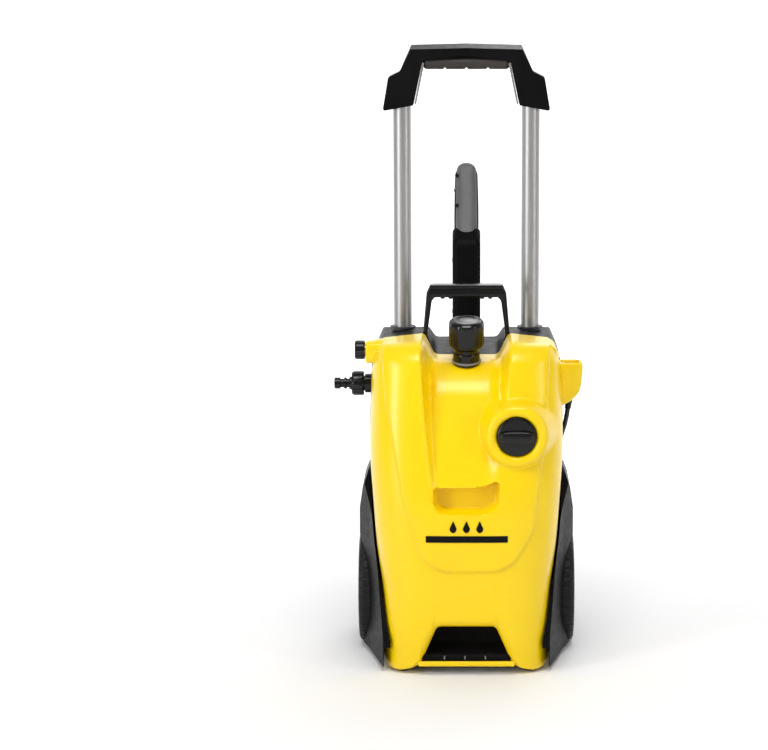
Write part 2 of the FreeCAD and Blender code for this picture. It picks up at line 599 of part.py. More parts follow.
def capacitor():
    can = turned(((0, 0), (19, 0), (20, 1), (20, 70), (18, 72), (0, 72)), (76, -62, 130), (0, 0, 1))
    tabs = [box(76 - 9, 76 - 3, -62.4, -61.6, 201.5, 210), box(76 + 3, 76 + 9, -62.4, -61.6, 201.5, 210)]
    strap = ring(23, 20.2, (76, -62, 158), (76, -62, 166))
    return joined([can] + tabs + [strap])


def housing_screws():
    """Pan-head screws in the back of the shell."""
    head = ((0, -3), (3.5, -3), (4.5, -1.5), (4.5, 0), (SCREW_R, 0), (SCREW_R, 16), (0, 16))
    return Part.makeCompound([turned(head, (x, REAR_Y + 0.3, z), (0, -1, 0)) for x, z in SCREWS])


# ---------------------------------------------------------------- wheels and axle
def axle():
    return turned(((0, 0), (AXLE_R - 1, 0), (AXLE_R, 1), (AXLE_R, 289), (AXLE_R - 1, 290), (0, 290)),
                  (-145, AXLE_Y, AXLE_Z), (1, 0, 0))


def axle_clips():
    """Push-on caps that keep the wheels on the axle."""
    clip = ring(12.0, AXLE_R, (141.5, AXLE_Y, AXLE_Z), (143.5, AXLE_Y, AXLE_Z))
    return both_sides(clip)


def tyre():
    """Right tyre: rounded tread with flat sides."""
    profile = ((62, 1), (74, 0), (78, 2), (80, 6), (80, 22), (78, 26), (74, 28), (62, 27.5))
    return turned(profile, (WHEEL_IN, AXLE_Y, AXLE_Z), (1, 0, 0))


def rim():
    """Right rim: dished disc with six spokes' recesses and a hub bored for the axle."""
    profile = ((AXLE_R + RUN_FIT, 0.5), (15, 0.5), (15, 9), (50, 9), (52, 3), (61.9, 3), (61.9, 27), (55, 27),
               (50, 20), (24, 15), (18, 23), (14, 24), (14, 17), (AXLE_R + RUN_FIT, 17))
    disc = turned(profile, (WHEEL_IN, AXLE_Y, AXLE_Z), (1, 0, 0))
    for i in range(6):
        turn = math.pi * i / 3
        y, z = AXLE_Y + 38 * math.cos(turn), AXLE_Z + 38 * math.sin(turn)
        disc = disc.cut(rod(8.0, (WHEEL_IN - 5, y, z), (WHEEL_IN + 40, y, z)))
    return disc


def wheel_cap():
    """Right hub cap, clipped into the rim's hub."""
    return turned(((0, 21.5), (13.9, 21.5), (13.9, 24.2), (18, 24.2), (16, 27.5), (8, 28.5), (0, 28.5)),
                  (WHEEL_IN, AXLE_Y, AXLE_Z), (1, 0, 0))


# ---------------------------------------------------------------- telescopic handle
def handle_tubes():
    low, high = TUBE_Z
    tube = ring(TUBE_R, TUBE_R - 1.5, (TUBE_X, TUBE_Y, low), (TUBE_X, TUBE_Y, high))
    return both_sides(tube)


def handle_guides():
    """Plastic sleeves inside the shell that the telescopic tubes slide in."""
    low, high = GUIDE_Z
    sleeve = ring(TUBE_R + 2.6, TUBE_R + RUN_FIT, (TUBE_X, TUBE_Y, low), (TUBE_X, TUBE_Y, high + 6))
    flange = ring(TUBE_R + 5.5, TUBE_R + RUN_FIT, (TUBE_X, TUBE_Y, high + 10.4), (TUBE_X, TUBE_Y, high + 12))
    neck = ring(TUBE_R + 2.6, TUBE_R + RUN_FIT, (TUBE_X, TUBE_Y, high), (TUBE_X, TUBE_Y, high + 11))
    return both_sides(joined([sleeve, neck, flange]))


GRIP_RIGHT = ((0.0, 849.0, 0.0), (77.0, 847.5, 9.0), (93.0, 811.0, 6.0), (109.0, 803.0, 6.0),
              (117.0, 756.0, 3.0), (74.0, 764.0, 3.0), (61.0, 826.0, 5.0), (0.0, 832.0, 0.0))


def handle_grip():
    """Moulded head of the telescopic handle: a bar with a wide shoulder on each tube."""
    half = prism("xz", GRIP_RIGHT, GRIP_Y[0], GRIP_Y[1])
    half = half.cut(rod(TUBE_R + 0.02, (TUBE_X, TUBE_Y, 700), (TUBE_X, TUBE_Y, TUBE_Z[1])))
    head = joined([half, mirror(half)])
    outer = [e for e in head.Edges if e.BoundBox.YLength < 0.01 and e.BoundBox.ZMin > 765
             and (e.BoundBox.XMin > 60 or e.BoundBox.XMax < -60 or e.BoundBox.ZMax > 840)
             and e.Length > 4 and e.BoundBox.ZMin > 790]
    return head.makeFillet(2.5, outer)


def handle_grip_pad():
    """Soft ribbed grip under the bar."""
    pad = prism("xz", ((-59.0, 825.5, 2.0), (59.0, 825.5, 2.0), (60.0, 816.0, 4.0), (0.0, 812.0, 0.0),
                       (-60.0, 816.0, 4.0)), GRIP_Y[0] + 3, GRIP_Y[1] - 3)
    pad = rounded(pad, 4.0, lambda e: e.BoundBox.YLength < 0.01 and e.BoundBox.ZMax < 817 and e.Length > 40)
    return pad.fuse(box(-58, 58, GRIP_Y[0] + 6, GRIP_Y[1] - 6, 825, 827.0)).removeSplitter()


# ---------------------------------------------------------------- gun, lances and their holders
def tilt(points, base, degrees):
    """Turn side-view points about a base point."""
    c, s = math.cos(math.radians(degrees)), math.sin(math.radians(degrees))
    y0, z0 = base
    return tuple((y0 + (y - y0) * c + (z - z0) * s, z0 - (y - y0) * s + (z - z0) * c, r) for y, z, r in points)


GUN_LEAN = 32.0             # the grip leans back from the barrel's line
GRIP_BASE = (GUN_Y + 4, 552.0)
TRIGGER_PIVOT = (GUN_Y + 26.5, 540.0)


def gun_shell():
    """Gun body, grip and hand guard in one moulding, stored barrel down."""
    body = prism("yz", ((GUN_Y - 23, 345.0, 12.0), (GUN_Y + 22, 345.0, 12.0), (GUN_Y + 24, 560.0, 8.0),
                        (GUN_Y + 8, 592.0, 10.0), (GUN_Y - 23, 575.0, 22.0)), -21.0, 21.0)
    body = rounded(body, 9.0, lambda e: e.BoundBox.XLength < 0.01)
    grip_points = tilt(((GUN_Y - 14, 545.0, 4.0), (GUN_Y + 18, 545.0, 4.0), (GUN_Y + 19, 676.0, 12.0),
                        (GUN_Y - 15, 688.0, 14.0)), GRIP_BASE, GUN_LEAN)
    grip = prism("yz", grip_points, -18.5, 18.5)
    grip = rounded(grip, 10.0, lambda e: e.BoundBox.XLength < 0.01)
    nose = turned(((0, 0), (13, 0), (15, 2), (15, 60), (17, 64), (17, 180), (0, 180)), (0, GUN_Y, 172), (0, 0, 1))
    guard_out = ((GUN_Y + 8, 486.0, 0.0), (GUN_Y + 44, 498.0, 24.0), (GUN_Y + 98, 574.0, 24.0),
                 (GUN_Y + 103, 640.0, 16.0), (GUN_Y + 70, 660.0, 0.0), (GUN_Y + 62, 650.0, 0.0),
                 (GUN_Y + 93, 632.0, 10.0), (GUN_Y + 90, 580.0, 18.0), (GUN_Y + 40, 508.0, 18.0),
                 (GUN_Y + 8, 500.0, 0.0))
    guard = prism("yz", guard_out, -7.0, 7.0)
    gun = joined([body, grip, nose, guard])
    gun = gun.cut(rod(10.5, (0, GUN_Y, 170), (0, GUN_Y, 214)))
    slot = prism("yz", tilt(((GUN_Y + 8, 548.0, 0.0), (GUN_Y + 40, 520.0, 0.0), (GUN_Y + 40, 662.0, 0.0),
                             (GUN_Y + 8, 650.0, 0.0)), GRIP_BASE, GUN_LEAN), -7.5, 7.5)
    slot = slot.common(prism("yz", ((GUN_Y + 10, 524.0, 0.0), (GUN_Y + 110, 524.0, 0.0),
                                    (GUN_Y + 110, 700.0, 0.0), (GUN_Y + 10, 700.0, 0.0)), -8, 8))
    guard_keep = prism("yz", guard_out, -8.0, 8.0)
    gun = gun.cut(slot.cut(guard_keep))
    pin = rod(3.0, (-18, *TRIGGER_PIVOT), (18, *TRIGGER_PIVOT))
    lock_slot = box(-5.0, 5.0, GUN_Y + 12, GUN_Y + 30, 470, 492)
    button_slot = rod(6.5, (0, GUN_Y - 30, 420), (0, GUN_Y - 12, 420))
    return joined([gun, pin]).cut(lock_slot).cut(button_slot)


def gun_trigger():
    """Finger lever along the inner side of the grip, hinged on the pin at its root."""
    y, z = TRIGGER_PIVOT
    lever = prism("yz", ((y - 8, z - 8, 6.0), (y + 8, z - 8, 6.0), (y + 44, z + 50, 20.0), (y + 58, z + 76, 4.0),
                         (y + 50, z + 80, 3.0), (y + 33, z + 58, 20.0), (y - 8, z + 8, 6.0)), -6.5, 6.5)
    return lever.cut(rod(3.0 + RUN_FIT, (-20, y, z), (20, y, z)))


def gun_grip_pad():
    """Soft insert on the outer back of the grip."""
    points = tilt(((GUN_Y - 16.6, 586.0, 0.5), (GUN_Y - 14.5, 586.0, 0.5), (GUN_Y - 15.0, 668.0, 0.5),
                   (GUN_Y - 17.1, 668.0, 0.5)), GRIP_BASE, GUN_LEAN)
    return prism("yz", points, -8.0, 8.0)


def gun_lock():
    """Child-lock tab behind the trigger's root."""
    return rounded(box(-4.5, 4.5, GUN_Y + 14, GUN_Y + 29, 471, 489), 1.5, along(Y))


def gun_hose_button():
    """Push button that frees the hose from the gun."""
    return turned(((0, 0), (6.2, 0), (6.2, 12), (5, 14), (0, 14)), (0, GUN_Y - 13, 420), (0, -1, 0))


def gun_screws():
    """Screws that close the gun's two halves."""
    parts = []
    for y, z in ((GUN_Y - 8, 370), (GUN_Y - 10, 455), (GUN_Y - 6, 530), (GUN_Y + 44, 628)):
        depth = 19.6 if z < 600 else 17.1
        parts.append(rod(3.2, (-depth - 1.5, y, z), (-depth + 4, y, z)))
    return Part.makeCompound(parts)


def gun_holder():
    """Funnel behind the shell that the barrel stands in."""
    funnel = turned(((15.5, 4), (20, 0), (21, 2), (21, 120), (30, 150), (30, 156), (27, 156), (18, 120), (18, 4)),
                    (0, GUN_Y, 166), (0, 0, 1))
    floor = ring(18.5, 12.0, (0, GUN_Y, 167), (0, GUN_Y, 171.5))
    plate = box(-34, 34, REAR_Y + 0.3, REAR_Y + 4.3, 180, 310)
    arm = box(-14, 14, REAR_Y + 4, GUN_Y - 16, 190, 300).cut(rod(20, (0, GUN_Y, 180), (0, GUN_Y, 320)))
    return joined([funnel, floor, arm, plate])


def lance_holder():
    """Two cups low on the back that the lances stand in."""
    parts = []
    for side in (-1, 1):
        x = side * LANCE_X
        cup = turned(((0, 16), (21, 16), (21, 132), (18.5, 132), (18.5, LANCE_Z[0] - 0.4), (0, LANCE_Z[0] - 0.4)),
                     (x, LANCE_Y, 0), (0, 0, 1))
        arm = box(x - 9, x + 9, REAR_Y + 4, LANCE_Y - 16, 60, 124)
        arm = arm.cut(rod(20, (x, LANCE_Y, 50), (x, LANCE_Y, 140)))
        parts += [cup, arm]
    plate = box(-100, 100, REAR_Y + 0.3, REAR_Y + 4.3, 56, 128)
    return joined(parts + [plate])


def bayonet(x, low):
    """Coupling end of a lance: two lugs, then a ribbed flare up to the tube."""
    core = turned(((0, 0), (8, 0), (9, 1), (9, 22), (10.5, 24), (10.5, 36), (9, 38), (10, 44), (15, 92), (12, 96),
                   (8, 98), (0, 98)), (x, LANCE_Y, low), (0, 0, 1))
    lugs = [box(x - 15, x + 15, LANCE_Y - 4, LANCE_Y + 4, low + 26, low + 34)]
    body = joined([core] + lugs)
    for i in range(5):
        z = low + 48 + i * 9
        body = body.cut(ring(20, 9.4 + i * 0.9, (x, LANCE_Y, z), (x, LANCE_Y, z + 3)))
    return body


def blaster_lance():
    """Tube of the rotary-jet lance with its coupling."""
    low, high = LANCE_Z
    x = LANCE_X
    tube = rod(7.5, (x, LANCE_Y, low + 96), (x, LANCE_Y, high - 52))
    return joined([bayonet(x, low), tube, rod(11.0, (x, LANCE_Y, high - 62), (x, LANCE_Y, high - 56.2))])


def blaster_nozzle():
    """Cone of the rotary jet, hollow around its rotor."""
    high = LANCE_Z[1]
    profile = ((7.55, -56), (20, -56), (21, -53), (21, -44), (19.5, -42), (11.5, -8), (9.5, -6), (9.5, 0), (4, 0),
               (4, -8), (8, -10), (15.5, -44), (15.5, -51.8), (7.55, -51.8))
    return turned(profile, (LANCE_X, LANCE_Y, high), (0, 0, 1))


def blaster_rotor():
    """Spinning jet inside the cone."""
    high = LANCE_Z[1]
    return turned(((0, -50), (11, -50), (11, -44), (6, -40), (5, -12), (0, -10)),
                  (LANCE_X, LANCE_Y, high), (0, 0, 1))


def vario_lance():
    """Coupling, tube and scale collar of the adjustable lance."""
    low, high = LANCE_Z
    x = -LANCE_X
    tube = rod(8.0, (x, LANCE_Y, low + 96), (x, LANCE_Y, high - 26))
    collar = turned(((8, 148), (13, 146), (14.5, 150), (17, 166), (17, 178), (8, 178)), (x, LANCE_Y, low), (0, 0, 1))
    return joined([bayonet(x, low), tube, collar])


def vario_sleeve():
    """Twist sleeve that sets the pressure, on the lance's tube; its mouth holds the jet."""
    low, high = LANCE_Z
    top = high - low
    profile = ((8.06, 178.5), (19, 178.5), (21, 184), (22, 220), (23.5, 262), (23, 320), (19.5, 372), (15, 398),
               (13, top), (7, top), (7, top - 14), (8.06, top - 22))
    sleeve = turned(profile, (-LANCE_X, LANCE_Y, low), (0, 0, 1))
    for i in range(10):
        turn = 2 * math.pi * (i + 0.5) / 10
        x, y = -LANCE_X + 26.0 * math.cos(turn), LANCE_Y + 26.0 * math.sin(turn)
        sleeve = sleeve.cut(rod(4.2, (x, y, low + 226), (x, y, low + 340)))
    return sleeve


# ---------------------------------------------------------------- mains cable
def cable_gland():
    """Boss on the shell's side and the tapered strain relief that points down from it."""
    x, y, z = CABLE_ROUTE[0]
    back = (V(*CABLE_ROUTE[0]) - V(*CABLE_ROUTE[1])).normalize()
    relief = turned(((0, 0), (CABLE_R + 0.7, 0), (6.2, 32), (0, 32)), (x, y, z), back)
    boss = rounded(box(120.0, 153.0, y - 11, y + 8, z + 28, z + 50), 5.0, along(Y))
    return joined([relief, boss.cut(shell_solid(0.0))])


def mains_cable():
    """Free stretch of the cable: straight runs joined by tangent arcs."""
    points = [V(*p) for p in CABLE_ROUTE]
    edges = []
    start = points[0]
    for i in range(1, len(points) - 1):
        before, after = points[i - 1] - points[i], points[i + 1] - points[i]
        turn = math.pi - before.getAngle(after)
        shorter = min(before.Length, after.Length)
        reach = 0.45 * shorter
        radius = reach / math.tan(turn / 2)
        print("cable bend %d radius %.1f mm" % (i, radius))
        before.normalize()
        after.normalize()
        inward = (before + after).normalize()
        centre = points[i] + inward * (radius / math.cos(turn / 2))
        entry, leave = points[i] + before * reach, points[i] + after * reach
        edges.append(Part.LineSegment(start, entry).toShape())
        edges.append(Part.Arc(entry, centre - inward * radius, leave).toShape())
        start = leave
    edges.append(Part.LineSegment(start, points[-1]).toShape())
    path = Part.Wire(edges)
    section = Part.Wire(Part.Circle(points[0], points[1] - points[0], CABLE_R).toShape())
    cable = path.makePipeShell([section], True, True)
    print("cable length %.1f mm, volume ratio %.4f"
          % (path.Length, cable.Volume / (path.Length * math.pi * CABLE_R ** 2)))
    return cable


def cable_coil():
    """Outer shape of the wound cable on the floor."""
    inner, outer = COIL_MEAN_R - COIL_HALF_W, COIL_MEAN_R + COIL_HALF_W
    profile = ((inner, 3), (inner + 3, 0), (outer - 3, 0), (outer, 3), (outer, COIL_H - 3), (outer - 3, COIL_H),
               (inner + 3, COIL_H), (inner, COIL_H - 3))
    return turned(profile, (COIL_C[0], COIL_C[1], 0.0), (0, 0, 1))


def mains_plug():
    """Round two-pin plug lying beside the coil, in line with the cable that leaves the outer turn."""
    turn = math.radians(PLUG_TURN)
    outward, ahead = V(math.cos(turn), math.sin(turn), 0), V(-math.sin(turn), math.cos(turn), 0)
    last_turn = COIL_MEAN_R + COIL_HALF_W - CABLE_R
    tail = V(COIL_C[0], COIL_C[1], PLUG_AXIS_Z) + outward * last_turn + ahead * 28.0
    body = turned(((0, 0), (3.7, 0), (5, 8), (7, 18), (15, 26), (19, 34), (19, 56), (17, 58), (0, 58)),
                  tail, ahead)
    pins = [Part.makeCylinder(2.4, 20.0, tail + ahead * 57 + outward * side, ahead) for side in (-9.5, 9.5)]
    return joined([body] + pins)


NODES = {
    "front_housing": front_housing, "rear_housing": rear_housing, "chassis_base": chassis_base,
    "lower_grip": lower_grip, "front_foot_pads": front_foot_pads, "carry_handle": carry_handle,
    "hose_hook": hose_hook, "hook_collar": hook_collar, "front_stripe": front_stripe,
    "switch_knob": switch_knob, "switch_body": switch_body, "outlet_connector": outlet_connector,
    "outlet_collar": outlet_collar, "inlet_union": inlet_union, "inlet_nut": inlet_nut,
    "inlet_nipple": inlet_nipple, "motor_stator": motor_stator, "stator_windings": stator_windings,
    "motor_end_shield": motor_end_shield, "motor_mounts": motor_mounts, "motor_rotor": motor_rotor,
    "rotor_shaft": rotor_shaft, "motor_bearings": motor_bearings, "pump_flange": pump_flange,
    "swash_plate": swash_plate, "pump_pistons": pump_pistons, "cylinder_head": cylinder_head,
    "pressure_switch": pressure_switch, "water_hoses": water_hoses, "capacitor": capacitor,
    "housing_screws": housing_screws, "axle": axle, "axle_clips": axle_clips,
    "tyre_right": tyre, "rim_right": rim, "wheel_cap_right": wheel_cap,
    "handle_tubes": handle_tubes, "handle_guides": handle_guides, "handle_grip": handle_grip,
    "handle_grip_pad": handle_grip_pad, "gun_shell": gun_shell, "gun_trigger": gun_trigger,
    "gun_grip_pad": gun_grip_pad, "gun_lock": gun_lock, "gun_hose_button": gun_hose_button,
    "gun_screws": gun_screws, "gun_holder": gun_holder, "lance_holder": lance_holder,
    "blaster_lance": blaster_lance, "blaster_nozzle": blaster_nozzle, "blaster_rotor": blaster_rotor,
    "vario_lance": vario_lance, "vario_sleeve": vario_sleeve, "cable_gland": cable_gland,
    "mains_cable": mains_cable, "cable_coil": cable_coil, "mains_plug": mains_plug,
}


def main():
    os.makedirs("parts", exist_ok=True)
    for node, build in NODES.items():
        save(node, build())
    for part in (tyre, rim, wheel_cap):
        save(part.__name__ + "_left", mirror(part()))


main()
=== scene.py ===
"""Looks of the pressure washer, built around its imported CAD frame.

Shapes are written in millimetres and become metres in piece() and cut_away().  Lights, camera and materials
are in metres.  The front faces -y, the floor is z = 0.
"""
import json
import math

import bmesh
import bpy
import numpy as np
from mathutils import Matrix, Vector
from mathutils.geometry import tessellate_polygon


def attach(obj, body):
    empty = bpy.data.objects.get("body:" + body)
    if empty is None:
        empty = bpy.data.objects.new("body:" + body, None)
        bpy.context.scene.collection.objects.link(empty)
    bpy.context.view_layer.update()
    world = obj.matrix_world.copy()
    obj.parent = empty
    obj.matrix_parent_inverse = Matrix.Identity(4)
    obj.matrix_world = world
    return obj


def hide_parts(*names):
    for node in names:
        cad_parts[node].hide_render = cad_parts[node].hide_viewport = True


MM = 0.001
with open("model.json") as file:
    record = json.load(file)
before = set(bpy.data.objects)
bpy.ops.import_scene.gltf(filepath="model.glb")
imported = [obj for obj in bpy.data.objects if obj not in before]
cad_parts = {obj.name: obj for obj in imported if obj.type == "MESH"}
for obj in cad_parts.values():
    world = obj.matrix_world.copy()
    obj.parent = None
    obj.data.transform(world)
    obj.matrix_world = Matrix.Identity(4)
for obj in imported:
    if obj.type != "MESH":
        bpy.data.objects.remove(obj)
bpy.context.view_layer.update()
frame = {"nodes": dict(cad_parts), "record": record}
NODES = frame["nodes"]
SCENE = bpy.context.scene


def link(obj):
    SCENE.collection.objects.link(obj)
    return obj


# ---------------------------------------------------------------- camera
IMAGE_WIDTH, FOCAL_PX = 768, 2610           # the focal length is in pixels of an image that wide
SENSOR_MM = 36.0
LOOK_DOWN_DEG = 9.6

camera_data = bpy.data.cameras.new("camera")
camera_data.sensor_width = SENSOR_MM
camera_data.lens = FOCAL_PX / IMAGE_WIDTH * SENSOR_MM
camera_data.shift_x = -0.1073
camera_data.clip_end = 50.0
camera = link(bpy.data.objects.new("camera", camera_data))
camera.location = (0.0, -3.6, 1.0)
camera.rotation_euler = (math.radians(90 - LOOK_DOWN_DEG), 0.0, 0.0)
SCENE.camera = camera


# ---------------------------------------------------------------- the mains cable
ROUTE = (
    (142.6, 12.0, 342.0), (140.4, 14.0, 324.0), (134.6, 22.0, 304.0), (131.8, 42.0, 288.0),
    (131.4, 75.0, 279.0), (131.5, 112.0, 273.0), (130.0, 145.0, 262.0), (125.0, 174.0, 240.0),
    (119.0, 193.0, 204.0), (116.0, 205.0, 160.0), (114.0, 216.0, 118.0), (112.0, 225.0, 82.0),
    (108.0, 239.0, 49.0), (101.5, 257.0, 22.5), (93.0, 275.0, 8.8), (81.0, 290.5, 3.8),
    (69.0, 302.5, 3.7), (58.5, 311.0, 3.7),
)
CABLE_D = 7.0
COIL_X, COIL_Y = 14.0, 268.5
COLUMNS = (56.0, 49.0, 42.0, 35.0, 28.0)    # radii of the coil's turns, outermost first
LAYERS = ((0, 1, 2, 3, 4), (4, 3, 2, 1, 0), (0, 1, 2, 3), (3, 2, 1, 0))     # columns as wound, floor up
START_DEG, STEP_DEG = 60, 20                # where the coil begins, and from each control point to the next
LEVEL_DEG, SHORT_DEG, SHIFT_DEG = 300, 240, 60
LEAVE_DEG = 120.0                           # where the last turn leaves for the plug
PLUG_Z = 19.5
CUT_IN = 0.75 + 0.25 * math.cos(math.radians(STEP_DEG))     # curve radius over control point radius


def coil_line():
    """Radius and height of the coil's control points: layers wound inwards and outwards in turn.

    A turn stays level for LEVEL_DEG, then moves over SHIFT_DEG to the next column, or up to the next layer.
    The first and last turns of a layer stay level for SHORT_DEG, all but the coil's very first turn.  The
    last turn of the top layer is left to cable_points().
    """
    shift = SHIFT_DEG // STEP_DEG
    steps = []
    for level, order in enumerate(LAYERS):
        z = CABLE_D * (level + 0.5)
        for i, column in enumerate(order):
            radius = COLUMNS[column]
            last = i == len(order) - 1
            if last and level == len(LAYERS) - 1:
                break
            short = (i == 0 or last) and (level, i) != (0, 0)
            steps += [(radius, z)] * ((SHORT_DEG if short else LEVEL_DEG) // STEP_DEG)
            for k in range(shift):
                share = (k + 1) / (shift + 1)
                if last:
                    steps.append((radius, z + CABLE_D * share))
                else:
                    steps.append((radius + (COLUMNS[order[i + 1]] - radius) * share, z))
    return steps


def on_coil(radius, degrees, z):
    """Control point that brings the curve to that radius."""
    a = math.radians(degrees)
    return Vector((COIL_X + radius / CUT_IN * math.cos(a), COIL_Y + radius / CUT_IN * math.sin(a), z))


def cable_points():
    """Control points of the whole cord: the route, the coil, and the end that goes into the plug."""
    points = [Vector(p) for p in ROUTE]
    turned = START_DEG
    for radius, z in coil_line():
        points.append(on_coil(radius, turned, z))
        turned += STEP_DEG
    top = CABLE_D * (len(LAYERS) - 0.5)
    while (turned - LEAVE_DEG) % 360 > 1:
        points.append(on_coil(COLUMNS[0], turned, top))
        turned += STEP_DEG
    a = math.radians(LEAVE_DEG)
    outward, ahead = Vector((math.cos(a), math.sin(a), 0)), Vector((-math.sin(a), math.cos(a), 0))
    start = Vector((COIL_X, COIL_Y, 0)) + outward * COLUMNS[0]
    for forward, z in ((0, top), (10, top - 0.6), (19, PLUG_Z + 1.0), (27, PLUG_Z), (34, PLUG_Z)):
        points.append(start + ahead * forward + Vector((0, 0, z)))
    return points


cable_data = bpy.data.curves.new("mains_cable_cord", "CURVE")
cable_data.dimensions = "3D"
line = cable_points()
spline = cable_data.splines.new("NURBS")
spline.points.add(len(line) - 1)
for i, p in enumerate(line):
    spline.points[i].co = (*(p * MM), 1.0)
    spline.points[i].radius = MM
spline.order_u = 3
spline.use_endpoint_u = True
spline.resolution_u = 4
cable_data.bevel_depth = CABLE_D / 2
cable_data.bevel_resolution = 3
cable = link(bpy.data.objects.new("mains_cable_cord", cable_data))
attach(cable, "machine")
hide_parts("mains_cable", "cable_coil")


# ---------------------------------------------------------------- materials
def finish_nodes(name, colour, rough, metal=0.0, coat=0.0, vary=0.06, grain=0.00006, grain_size=1600.0,
                 patch_size=18.0, rough_vary=0.06, wear=0.0, wear_colour=None, streak=None, specular=0.5):
    """One moulded, painted or metal finish: colour drifts slowly, fine grain in bump, roughness varies.

    grain is the bump's height in metres; streak stretches every pattern along an axis; wear lightens edges.
    """
    mat = bpy.data.materials.new(name)
    mat.use_nodes = True
    tree = mat.node_tree
    nodes, links = tree.nodes, tree.links
    shader = nodes["Principled BSDF"]
    shader.inputs["Metallic"].default_value = metal
    shader.inputs["Coat Weight"].default_value = coat
    shader.inputs["Coat Roughness"].default_value = 0.14
    shader.inputs["Specular IOR Level"].default_value = specular
    place = nodes.new("ShaderNodeTexCoord")
    vector = place.outputs["Object"]
    if streak:
        mapping = nodes.new("ShaderNodeMapping")
        mapping.inputs["Scale"].default_value = streak
        links.new(vector, mapping.inputs["Vector"])
        vector = mapping.outputs["Vector"]
    patch = nodes.new("ShaderNodeTexNoise")
    patch.inputs["Scale"].default_value = patch_size
    patch.inputs["Detail"].default_value = 4.0
    links.new(vector, patch.inputs["Vector"])
    ramp = nodes.new("ShaderNodeValToRGB")
    low = tuple(c * (1 - vary) for c in colour)
    high = tuple(min(1.0, c * (1 + vary * 0.5)) for c in colour)
    ramp.color_ramp.elements[0].position = 0.3
    ramp.color_ramp.elements[0].color = (*low, 1)
    ramp.color_ramp.elements[1].position = 0.7
    ramp.color_ramp.elements[1].color = (*high, 1)
    links.new(patch.outputs["Fac"], ramp.inputs["Fac"])
    base = ramp.outputs["Color"]
    if wear:
        geometry = nodes.new("ShaderNodeNewGeometry")
        edge = nodes.new("ShaderNodeMapRange")
        edge.inputs["From Min"].default_value = 0.52
        edge.inputs["From Max"].default_value = 0.60
        edge.inputs["To Max"].default_value = wear
        links.new(geometry.outputs["Pointiness"], edge.inputs["Value"])
        mix = nodes.new("ShaderNodeMix")
        mix.data_type = "RGBA"
        links.new(edge.outputs["Result"], mix.inputs[0])
        links.new(base, mix.inputs[6])
        mix.inputs[7].default_value = (*(wear_colour or high), 1)
        base = mix.outputs[2]
    links.new(base, shader.inputs["Base Color"])
    fine = nodes.new("ShaderNodeTexNoise")
    fine.inputs["Scale"].default_value = grain_size
    fine.inputs["Detail"].default_value = 2.0
    links.new(vector, fine.inputs["Vector"])
    spread = nodes.new("ShaderNodeMapRange")
    spread.inputs["From Min"].default_value = 0.3
    spread.inputs["From Max"].default_value = 0.7
    spread.inputs["To Min"].default_value = max(0.02, rough - rough_vary)
    spread.inputs["To Max"].default_value = min(1.0, rough + rough_vary)
    blotch = nodes.new("ShaderNodeTexNoise")
    blotch.inputs["Scale"].default_value = patch_size * 6
    blotch.inputs["Detail"].default_value = 6.0
    links.new(vector, blotch.inputs["Vector"])
    links.new(blotch.outputs["Fac"], spread.inputs["Value"])
    links.new(spread.outputs["Result"], shader.inputs["Roughness"])
    bump = nodes.new("ShaderNodeBump")
    bump.inputs["Strength"].default_value = 1.0
    bump.inputs["Distance"].default_value = grain
    links.new(fine.outputs["Fac"], bump.inputs["Height"])
    links.new(bump.outputs["Normal"], shader.inputs["Normal"])
    return mat


